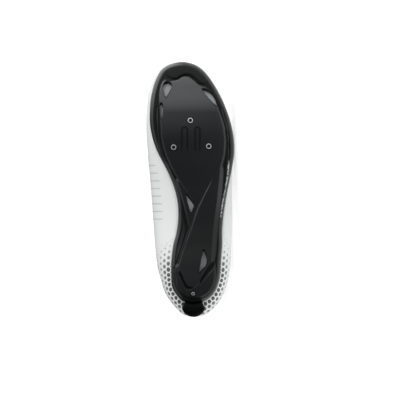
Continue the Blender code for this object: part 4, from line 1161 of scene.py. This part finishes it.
def sheet_ring(middle, normal, half):
    """Both faces of a sheet as one closed ring round it."""
    upper_face, under_face = middle + normal * half, middle - normal * half
    return np.concatenate([upper_face, under_face[::-1]], axis=0)


# %% [markdown]
# A soft rubber crescent is moulded over the toe, so that the carbon isn't scraped in walking. It
# stands proud of the sole and ends just inside the rim, and its front edge is wavy. The rubber is
# matte, which is what tells it from the carbon.

# %% Toe bumper
rubber = plain("matte_black_rubber", "1a1d1c", Roughness=0.75, IOR=1.5, Specular_IOR_Level=0.15)
grained(rubber, "Noise", 1400.0, 0.00006, 0.6, Detail=2.0)

BUMPER_REACH, BUMPER_STEPS, BUMPER_ROUND = 0.0042, 120, 40
toe_heart = np.array([tuple(spine(TOE_CENTRE))])
tried = np.radians(np.linspace(40, 165, 500))


def toe_lines(turns):
    """Origins and ways of rays that fan out round the toe."""
    return np.repeat(toe_heart, len(turns), axis=0), np.stack([np.cos(turns), np.sin(turns)], axis=1)


near = reaches(rounded(TOE_PAD, 6), *toe_lines(tried))
hit = np.isfinite(near)
turns = np.linspace(tried[hit][0], tried[hit][-1], BUMPER_STEPS + 1)
near = np.interp(turns, tried[hit], near[hit])
far = reaches(inset(SOLE_OUTLINE, BUMPER_REACH), *toe_lines(turns))
ends = np.linspace(-1, 1, BUMPER_STEPS + 1)
half = (far - near) / 2 * eased(ends, 8)
side_way, up_way = boxy(np.linspace(0, 2 * pi, BUMPER_ROUND, endpoint=False))
hearts, aims = toe_lines(turns)
bumper_spots = np.zeros((BUMPER_ROUND, BUMPER_STEPS + 1, 3))
rim_depths, rim_heights = zip(*RIM_SIDE_ROWS)
for i, (c, s) in enumerate(zip(side_way, up_way)):
    flat = hearts + aims * ((near + far) / 2 + half * c)[:, None]
    level = np.interp(distances(flat, SOLE_OUTLINE), rim_depths, rim_heights)
    tall = BUMPER_THICK * (0.85 - 0.35 * max(c, 0)) * s * eased(ends, 8) if s > 0 else 0.0006 * s
    bumper_spots[i, :, :2] = flat
    bumper_spots[i, :, 2] = level - tall + rise(flat[:, 0], flat[:, 1])
swept("rubber_toe_bumper", bumper_spots, [rubber], "toe_bumper")

# %% [markdown]
# The heel block is a harder, darker rubber. Seen from below it is no wider than a thumb, its lower
# corners go on with the line of the upper's heel, and its back climbs up to meet the upper.

# %% Heel block
heel_rubber = plain("black_heel_rubber", "030505", Roughness=0.6, IOR=1.5, Specular_IOR_Level=0.06)
grained(heel_rubber, "Noise", 900.0, 0.00005, 0.5)

PAD_HALF_FRONT, PAD_HALF_BACK = 0.0116, 0.0150
PAD_BACK = [(0.0007, 0.0165), (0.0003, 0.0105), (0.0014, 0.0045), (0.0055, 0.0004)]
PAD_CREST_Y, PAD_TREAD_FRONT_Y, PAD_FRONT_Z = 0.0030, 0.0125, 0.0030
PAD_CURL, PAD_CURL_POWER, PAD_TOP_STEPS = 0.0085, 2, 3
PAD_STEPS, PAD_PER_SPAN = 60, 4
heel_heart = spine(HEEL_CENTRE)


def pad_ring(aside):
    """The block's profile at a share of its half width."""
    def across(y):
        return aside * (PAD_HALF_BACK + (PAD_HALF_FRONT - PAD_HALF_BACK) * y / PAD_TREAD_FRONT_Y)

    def curled(y):
        return y + PAD_CURL * abs(aside) ** PAD_CURL_POWER * (1 - y / PAD_TREAD_FRONT_Y)

    def under(y):
        ray = Vector((across(y), y)) - heel_heart
        section = sections_on([heel_heart], [ray.normalized()])[0]
        share = (ray.length - section.feather) / (section.widest - section.feather)
        share = 1 - sqrt(1 - min(max(share, 0), 1))
        return section.feather_z + (section.widest_z - section.feather_z) * share - 2 * FIT

    beside = np.array([(across(PAD_TREAD_FRONT_Y), heel_heart.y)])
    front = heel_heart.y - float(reaches(SOLE_OUTLINE, beside, np.array([(0.0, -1.0)]))[0]) - FIT
    tops = np.linspace(front, curled(PAD_CREST_Y), PAD_TOP_STEPS + 1)
    ring = [(front, PAD_FRONT_Z)] + [(y, under(y)) for y in tops]
    ring += [(curled(y), z) for y, z in PAD_BACK] + [(PAD_TREAD_FRONT_Y, PAD_BACK[-1][1])]
    ring = smooth_loop([Vector((across(y), y, z)) for y, z in ring], PAD_PER_SPAN)
    middle = sum(ring, Vector()) / len(ring)
    size = float(eased(aside, 24))
    return [(point.x, *(middle + (point - middle) * size).yz) for point in ring]


pad_spots = np.array([pad_ring(sin(radians(90) * k)) for k in np.linspace(-1, 1, PAD_STEPS + 1)])
swept("rubber_heel_block", pad_spots.transpose(1, 0, 2), [heel_rubber], "heel_pad")

# %% [markdown]
# Three threaded inserts take the cleat's bolts. They are turned from stainless steel: a bright
# washer-like face, a chamfer, and a thread that goes down into the dark. A spin makes each one.

# %% Threaded inserts and heel screw
steel = plain("brushed_stainless_steel", "d2d5d7", Metallic=1.0, Roughness=0.55)
grained(steel, "Noise", 2500.0, 0.00002, 0.5, Detail=1.0)
# Painted shade: the thread inside the bore is a near black steel.
painted_shade_thread = plain("thread_steel_in_painted_shade", "17191a", Metallic=1.0, Roughness=0.5)
dark_steel = plain("dull_zinc_screw", "9a9ea0", Metallic=1.0, Roughness=0.5)
grained(dark_steel, "Noise", 1800.0, 0.00002, 0.6)
THREAD_PITCH, FACE_RADIUS, MOUTH_RADIUS, SCREW_SUNK = 0.0008, 0.0030, 0.0019, 0.0010


def lathe(profile, steps=48):
    """Spins a profile of (radius, height) a full turn round the upright axis."""
    bm = bmesh.new()
    points = [bm.verts.new((radius, 0, height)) for radius, height in profile]
    edges = [bm.edges.new(pair) for pair in zip(points, points[1:] + points[:1])
             if pair[0].co.x > 0 or pair[1].co.x > 0]
    bmesh.ops.spin(bm, geom=points + edges, axis=(0, 0, 1), cent=(0, 0, 0), angle=2 * pi,
                   steps=steps, use_merge=True)
    bmesh.ops.remove_doubles(bm, verts=bm.verts[:], dist=1e-6)
    bmesh.ops.recalc_face_normals(bm, faces=bm.faces[:])
    return bm


thread = [(MOUTH_RADIUS - 0.0005 - 0.0002 * (k % 2), 0.0005 + THREAD_PITCH / 2 * k)
          for k in range(4)]
insert_profile = [(FACE_RADIUS, INSERT_THICK), (FACE_RADIUS, 0.0003), (FACE_RADIUS - 0.0003, 0.0),
                  (MOUTH_RADIUS, 0.0), (MOUTH_RADIUS - 0.0003, 0.0002)] + thread
for node_name, spot in INSERTS.items():
    insert_bm = lathe(insert_profile)
    for face in insert_bm.faces:
        face.material_index = int(face.calc_center_median().xy.length < MOUTH_RADIUS - 0.0001)
    insert_bm.transform(seat_frame(spot, -PLATFORM_DROP))
    insert = finished("turned_" + node_name, insert_bm, [steel, painted_shade_thread], sharp=30)
    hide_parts(node_name)

HEAD_RADIUS = 0.0023
head = [(0, SCREW_THICK), (HEAD_RADIUS - 0.0003, SCREW_THICK), (HEAD_RADIUS, SCREW_THICK - 0.0003),
        (HEAD_RADIUS, 0.0002)]
head += [(HEAD_RADIUS * cos(radians(t)), -SCREW_DOME * sin(radians(t))) for t in range(10, 90, 10)]
screw_bm = lathe(head + [(0, -SCREW_DOME)])
screw_place = seat_frame(SCREW_PLACE, SCREW_SUNK - HEEL_PLATE_DROP)
screw_bm.transform(screw_place)
screw = finished("heel_plate_screw", screw_bm, [dark_steel], sharp=30)
socket = bmesh.new()
bmesh.ops.create_cone(socket, cap_ends=True, segments=6, radius1=0.0015, radius2=0.0015, depth=0.003,
                      matrix=TO_WORLD @ screw_place @ Matrix.Translation((0, 0, -0.0005)))
cut(screw, socket)
screw.data.set_sharp_from_angle(angle=radians(30))
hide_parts("heel_pad_screw")

# %% [markdown]
# The tongue closes the throat from inside. It is foam between two layers of cloth, thickest at its
# top, with a bound edge. It follows the last a little deeper than the upper does.

# %% Tongue
tongue_cloth = plain("grey_padded_air_mesh", "a5a9ab", Roughness=0.9, Sheen_Weight=0.35,
                     Specular_IOR_Level=0.2)
KNIT_PITCH = 0.0018
grained(tongue_cloth, "Voronoi", 1 / KNIT_PITCH, 0.0004, 0.7)
tape = plain("grey_binding_tape", "7f8385", Roughness=0.8, Sheen_Weight=0.2)
grained(tape, "Noise", 1600.0, 0.0001, 0.6, Detail=2.0)

TONGUE_STEPS, TONGUE_ACROSS = 110, 44
CHANNEL_START, CHANNEL_PITCH = 0.39, 0.034
TAPE_SIDE, TAPE_TOP = 0.90, 0.07
places = np.linspace(0, len(TONGUE_ROWS) - 1, TONGUE_STEPS + 1)
shares = np.sin(np.linspace(-pi / 2, pi / 2, TONGUE_ACROSS + 1))
tongue_columns = [[(k, row[column]) for k, row in enumerate(TONGUE_ROWS)] for column in range(3)]
lines = [[curve(rows, t) for t in places] for rows in tongue_columns]
starts, ways, outs = [], [], []
for share in shares:
    for along, wide, sweep in zip(*lines):
        starts.append(spine(along - sweep * share**2))
        ways.append(Vector((-1 if share > 0 else 1, 0)))
        outs.append(abs(share) * wide * BALL_WIDTH)
tongue_face = np.array([tuple(section.arch(section.angle_out(out)))
                        for section, out in zip(sections_on(starts, ways), outs)])
tongue_face = tongue_face.reshape(len(shares), len(places), 3)
up_row = np.linspace(-1, 1, TONGUE_STEPS + 1)[None, :, None]
over_row = shares[:, None, None]
upward = surface_normals(tongue_face, np.array((0.0, 0.0, 1.0)))
body = eased(over_row, 8) * eased(up_row, 40)
channel_turn = pi * np.maximum(np.array(lines[0]) - CHANNEL_START, 0) / CHANNEL_PITCH
channels = 0.82 + 0.18 * np.sqrt(np.abs(np.cos(channel_turn)))[None, :, None]
inner_part = ramp(1 - np.abs(over_row), 0.10, 0.26) * ramp(1 + up_row, 0.05, 0.14)
full = TONGUE_THICK / 2 * body * (0.8 + 0.2 * inner_part * channels)
tongue_middle = tongue_face - upward * (UPPER_WALL + TONGUE_FIT + TONGUE_THICK / 2)


def tongue_finish(i, j):
    """Binding tape round the edge, cloth inside it."""
    i %= 2 * len(shares)
    share = abs(shares[int(min(i, 2 * len(shares) - 1 - i))])
    return int(share > TAPE_SIDE or j < TAPE_TOP * TONGUE_STEPS)


tongue = swept("padded_tongue", sheet_ring(tongue_middle, upward, full), [tongue_cloth, tape],
               "tongue", tongue_finish)

# %% [markdown]
# Two straps cross the throat and close with hook and loop. Each is one layer of coated cloth with a
# pressed border, starts low on the inner side and ends in a round tab on the outer side.

# %% Straps
strap_coat = plain("satin_grey_strap", "c9cccd", Roughness=0.45, Coat_Weight=0.1,
                   Coat_Roughness=0.4)
grained(strap_coat, "Noise", 1500.0, 0.00006, 0.5, Detail=2.0)
hook_tape = plain("grey_hook_and_loop_tape", "5d6163", Roughness=0.95, Sheen_Weight=0.6)
grained(hook_tape, "Noise", 2200.0, 0.0004, 0.9, Detail=3.0)

Strap = namedtuple("Strap", "name along width start end slant")
STRAPS = [Strap("strap_forefoot", 0.640, 0.024, 0.36, 0.50, 0.010),
          Strap("strap_instep", 0.500, 0.026, 0.36, 0.52, 0.014)]
TAB_ROUND, TAB_END_CUT, STRAP_STEPS, STRAP_ACROSS = 0.22, 0.97, 120, 40
BORDER, BORDER_SOFT, BORDER_DEPTH = 0.0022, 0.0003, 0.0004
strap_faces = {}
for strap in STRAPS:
    span = pi - strap.start - strap.end
    reach = np.linspace(0, 1, STRAP_STEPS + 1)
    past = np.clip((reach * span - (span - TAB_ROUND)) / TAB_ROUND, 0, 1)
    narrow = np.sqrt(np.maximum(1 - TAB_END_CUT * past**2, 0.0))
    shares = np.sin(np.linspace(-pi / 2, pi / 2, STRAP_ACROSS + 1))
    starts, ways, angles = [], [], []
    for share in shares:
        for t, slim in zip(reach, narrow):
            turn = strap.start + t * span
            outer_side = turn >= pi / 2
            aside = share * slim * strap.width / 2 / LENGTH
            starts.append(spine(strap.along + aside + strap.slant * (t - 0.5)))
            ways.append(Vector((-1 if outer_side else 1, 0)))
            angles.append(pi - turn if outer_side else turn)
    face = np.array([tuple(section.arch(angle))
                     for section, angle in zip(sections_on(starts, ways), angles)])
    face = face.reshape(len(shares), len(reach), 3)
    away = face - np.array((spine(strap.along).x, strap.along * LENGTH, 0.0))
    outward = surface_normals(face, away)
    over_row, end_row = shares[:, None, None], (2 * reach - 1)[None, :, None]
    edge_way = (1 - np.abs(over_row)) * strap.width / 2 * narrow[None, :, None]
    end_way = (1 - np.abs(end_row)) * span * 0.5 * 0.04
    inside_way = np.minimum(edge_way, end_way)
    body = eased(over_row, 16) * eased(end_row, 60)
    pressed = BORDER_DEPTH * (1 - ramp(inside_way, BORDER - BORDER_SOFT, BORDER + BORDER_SOFT))
    low = face + outward * (FIT + STRAP_THICK / 2 * (1 - body))
    high = face + outward * (FIT + STRAP_THICK / 2 * (1 + body) - pressed * body)
    ring = np.concatenate([high, low[::-1]], axis=0)
    swept("coated_" + strap.name, ring, [strap_coat, hook_tape], strap.name,
          lambda i, j: int(i > STRAP_ACROSS + 0.5))
    strap_faces[strap.name] = high, outward

# %% [markdown]
# The insole is thin foam under a light woven cloth. It lies on the sole's floor, and its edge is cut
# a little slanted so that it seats inside the upper.

# %% Insole
insole_cloth = plain("pale_woven_insole_cloth", "c4c8ca", Roughness=0.9, Sheen_Weight=0.2,
                     Specular_IOR_Level=0.2)
YARN = 0.0009
WAVES_PER_SCALE = 0.32
grained(insole_cloth, "Wave", WAVES_PER_SCALE / YARN, 0.0001, 0.5, Distortion=1.5, Detail=1.0)
foam = plain("grey_insole_foam", "9da1a3", Roughness=0.95, Specular_IOR_Level=0.1)
grained(foam, "Noise", 1500.0, 0.0002, 0.5, Detail=2.0)
INSOLE_DEPTH = FEATHER_INSET + UPPER_WALL + LAST_FIT
EDGE_ROWS = [(0.0004, 0.0), (0.0, 0.0003), (0.0, INSOLE_THICK - 0.0008),
             (0.0003, INSOLE_THICK - 0.0002)]
TOP_INSET, ACROSS_STEPS = 0.0010, 8
insole_out = reaches(inset(SOLE_OUTLINE, INSOLE_DEPTH))
insole_rows = [(insole_out * k / ACROSS_STEPS, 0.0) for k in range(ACROSS_STEPS)]
insole_rows += [(insole_out - depth, height) for depth, height in EDGE_ROWS]
insole_rows += [((insole_out - TOP_INSET) * k / ACROSS_STEPS, INSOLE_THICK)
                for k in range(ACROSS_STEPS, -1, -1)]
insole_spots = lifted_rows([(out, height + PLATE_THICK + FIT) for out, height in insole_rows])
swept("cloth_covered_insole", insole_spots, [insole_cloth, foam], "insole",
      lambda i, j: int(j < ACROSS_STEPS + 1))

# %% [markdown]
# Seams hold the panels. Thread sinks into the cloth and shows as short pillows in a row, about three
# to the centimetre. Each line of sewing follows a field that the panels were drawn from, at a small
# distance inside the panel's edge.

# %% Sewing
thread_white = plain("white_polyester_thread", "d4d7d8", Roughness=0.6, Sheen_Weight=0.2)
thread_grey = plain("grey_polyester_thread", "8b8f91", Roughness=0.6, Sheen_Weight=0.2)
STITCH_PITCH, STITCH_LONG, STITCH_THICK, STITCH_PROUD = 0.0032, 0.0024, 0.00062, 0.00008


def crossing_line(field, value, keep):
    """Where a field of the upper's grid falls through a value, column by column, with normals."""
    line = []
    for i, column in enumerate(field):
        falls = np.nonzero((column[:-1] > value) & (column[1:] <= value))[0]
        if len(falls) == 0 or not keep[i]:
            line.append(None)
            continue
        j = int(falls[0])
        share = float((column[j] - value) / (column[j] - column[j + 1]))
        line.append((dressed[i, j] * (1 - share) + dressed[i, j + 1] * share,
                     outer_normals[i, j] * (1 - share) + outer_normals[i, j + 1] * share))
    return line


def runs_of(line):
    """The unbroken runs of a line round the shoe."""
    runs, run = [], []
    gaps = [k for k, item in enumerate(line) if item is None]
    if gaps:
        line = line[gaps[0]:] + line[:gaps[0]]
    for item in line + [None]:
        if item is not None and (not run or np.linalg.norm(item[0] - run[-1][0]) < 0.02):
            run.append(item)
        else:
            if len(run) > 3:
                runs.append(run)
            run = [] if item is None else [item]
    return runs


def sew(bm, run):
    """Lays stitches along a run of (point, normal)."""
    points = np.array([point for point, normal in run])
    normals = np.array([normal for point, normal in run])
    way = np.concatenate([[0.0], np.cumsum(np.linalg.norm(np.diff(points, axis=0), axis=1))])
    spots = np.arange(STITCH_PITCH / 2, way[-1], STITCH_PITCH)
    for at in spots:
        a, b = (Vector([float(np.interp(at + d, way, points[:, c])) for c in range(3)])
                for d in (-STITCH_LONG / 2, STITCH_LONG / 2))
        up = Vector([float(np.interp(at, way, normals[:, c])) for c in range(3)]).normalized()
        run_way = (b - a).normalized()
        side_way = up.cross(run_way).normalized()
        turn = Matrix((run_way, side_way, up)).transposed().to_4x4()
        size = Matrix.Diagonal((STITCH_LONG / 2, STITCH_THICK / 2, STITCH_THICK / 2, 1))
        here = Matrix.Translation((a + b) / 2 + up * STITCH_PROUD)
        bmesh.ops.create_icosphere(bm, subdivisions=1, radius=1.0, matrix=here @ turn @ size)
    return len(spots)


def sewing(name, runs, thread_finish):
    """One piece with the stitches of several runs."""
    bm = bmesh.new()
    laid = sum(sew(bm, run) for run in runs)
    print(name, laid, "stitches")
    return finished(name, bm, [thread_finish], sharp=180)


PANEL_SEAM = 0.0016
seam_runs = []
for panel, start in ((heel_counter, -1.0), (toe_cap, 0.80), (quarter, 0.35)):
    field = np.where(climb > 0.002, panel, 1.0)
    seam_runs += runs_of(crossing_line(field, PANEL_SEAM, ALONG[:, 0] > start))
at_edge = ALONG[:, -1]
for inside, kept in ((0.0020, at_edge > 0.40), (0.0098, at_edge > 0.40), (0.0062, at_edge < 0.42)):
    seam_runs += runs_of(crossing_line(edge_gap, inside, OPEN & kept))
sewing("upper_seams", seam_runs, thread_white)
strap_runs = []
for high, outward in strap_faces.values():
    for column in (3, -4):
        strap_runs.append(list(zip(high[column, 4:-10], outward[column, 4:-10])))
sewing("strap_seams", strap_runs, thread_grey)

# %% [markdown]
# The shoe lies on a plain white floor in soft light. The camera looks square at the sole with the
# toe up, as in the photograph. Gloss sees a darker studio than the rest does, with a bright wall
# beyond the toe and a weaker one beyond the inner side, so that the carbon stays black and still
# shows the bend of the toe and the rim.

# %% Floor, light and camera
FLOOR_SIZE = 40.0
floor_bm = bmesh.new()
bmesh.ops.create_grid(floor_bm, x_segments=1, y_segments=1, size=FLOOR_SIZE / 2)
floor = placed("floor", as_mesh("floor", floor_bm))
paper = plain("white_studio_floor", "eeeeee", Roughness=0.9, Specular_IOR_Level=0.0,
              Emission_Color=colour("ffffff"))
glossy = node(paper, "ShaderNodeLightPath").outputs["Is Glossy Ray"]
wire(paper, "Base Color", blend(paper, glossy, colour("eeeeee"), colour("8a8a8a")))
wire(paper, "Emission Strength", remapped(paper, glossy, 0.0, 1.0, 0.42, 0.52))
floor.data.materials.append(paper)

# Two bright walls as the gloss sees them: the way to it, where its light starts and is full, and
# how strong it is there.
WALLS = [((0.95, 0.0, 0.14), (0.05, 0.78, 0.03, 2.00)),
         ((-0.30, 0.0, 0.95), (0.78, 1.0, 0.0, 0.62))]
ROOM = 0.74
world = bpy.data.worlds.new("studio")
bpy.context.scene.world = world
world.use_nodes = True
seen = node(world, "ShaderNodeTexCoord").outputs["Generated"]
walls = []
for lit, edges in WALLS:
    toward = node(world, "ShaderNodeVectorMath", {0: seen, 1: lit}, operation="DOT_PRODUCT")
    shade = dict(zip(("Value", "From Min", "From Max", "To Min", "To Max"),
                     (toward.outputs["Value"], *edges)))
    walls.append(node(world, "ShaderNodeMapRange", shade, interpolation_type="SMOOTHSTEP").outputs[0])
mirrored = node(world, "ShaderNodeLightPath").outputs["Is Glossy Ray"]
brightness = node(world, "ShaderNodeMix",
                  {"Factor": mirrored, "A": ROOM, "B": arithmetic(world, "ADD", *walls)})
air = world.node_tree.nodes["Background"]
air.inputs["Color"].default_value = (1.0, 1.0, 1.0, 1.0)
world.node_tree.links.new(brightness.outputs["Result"], air.inputs["Strength"])

light = bpy.data.lights.new("key_light", "AREA")
light.size, light.energy = 0.6, 12.0
lamp = placed("key_light", light)
lamp.location = (1.4, -1.0, 0.80)
lamp.rotation_euler = (Vector((0.02, 0.0, 0.04)) - lamp.location).to_track_quat("-Z", "Y").to_euler()
lamp.visible_glossy = False

CAMERA_DISTANCE, PICTURE_SIZE = 6.0, 400
PIXEL = 0.001092
AIM = Vector((-6.5, 117.5, 0.0)) * PIXEL
eye = bpy.data.cameras.new("camera")
eye.sensor_width = 36.0
eye.lens = eye.sensor_width * CAMERA_DISTANCE / (PICTURE_SIZE * PIXEL)
eye.clip_end = 100.0
camera = placed("camera", eye)
flip = Matrix(((-1, 0, 0), (0, 1, 0), (0, 0, -1))).to_4x4()
camera.matrix_world = TO_WORLD @ Matrix.Translation(AIM - Vector((0, 0, CAMERA_DISTANCE))) @ flip
bpy.context.scene.camera = camera
bpy.context.scene.view_settings.view_transform = "Standard"
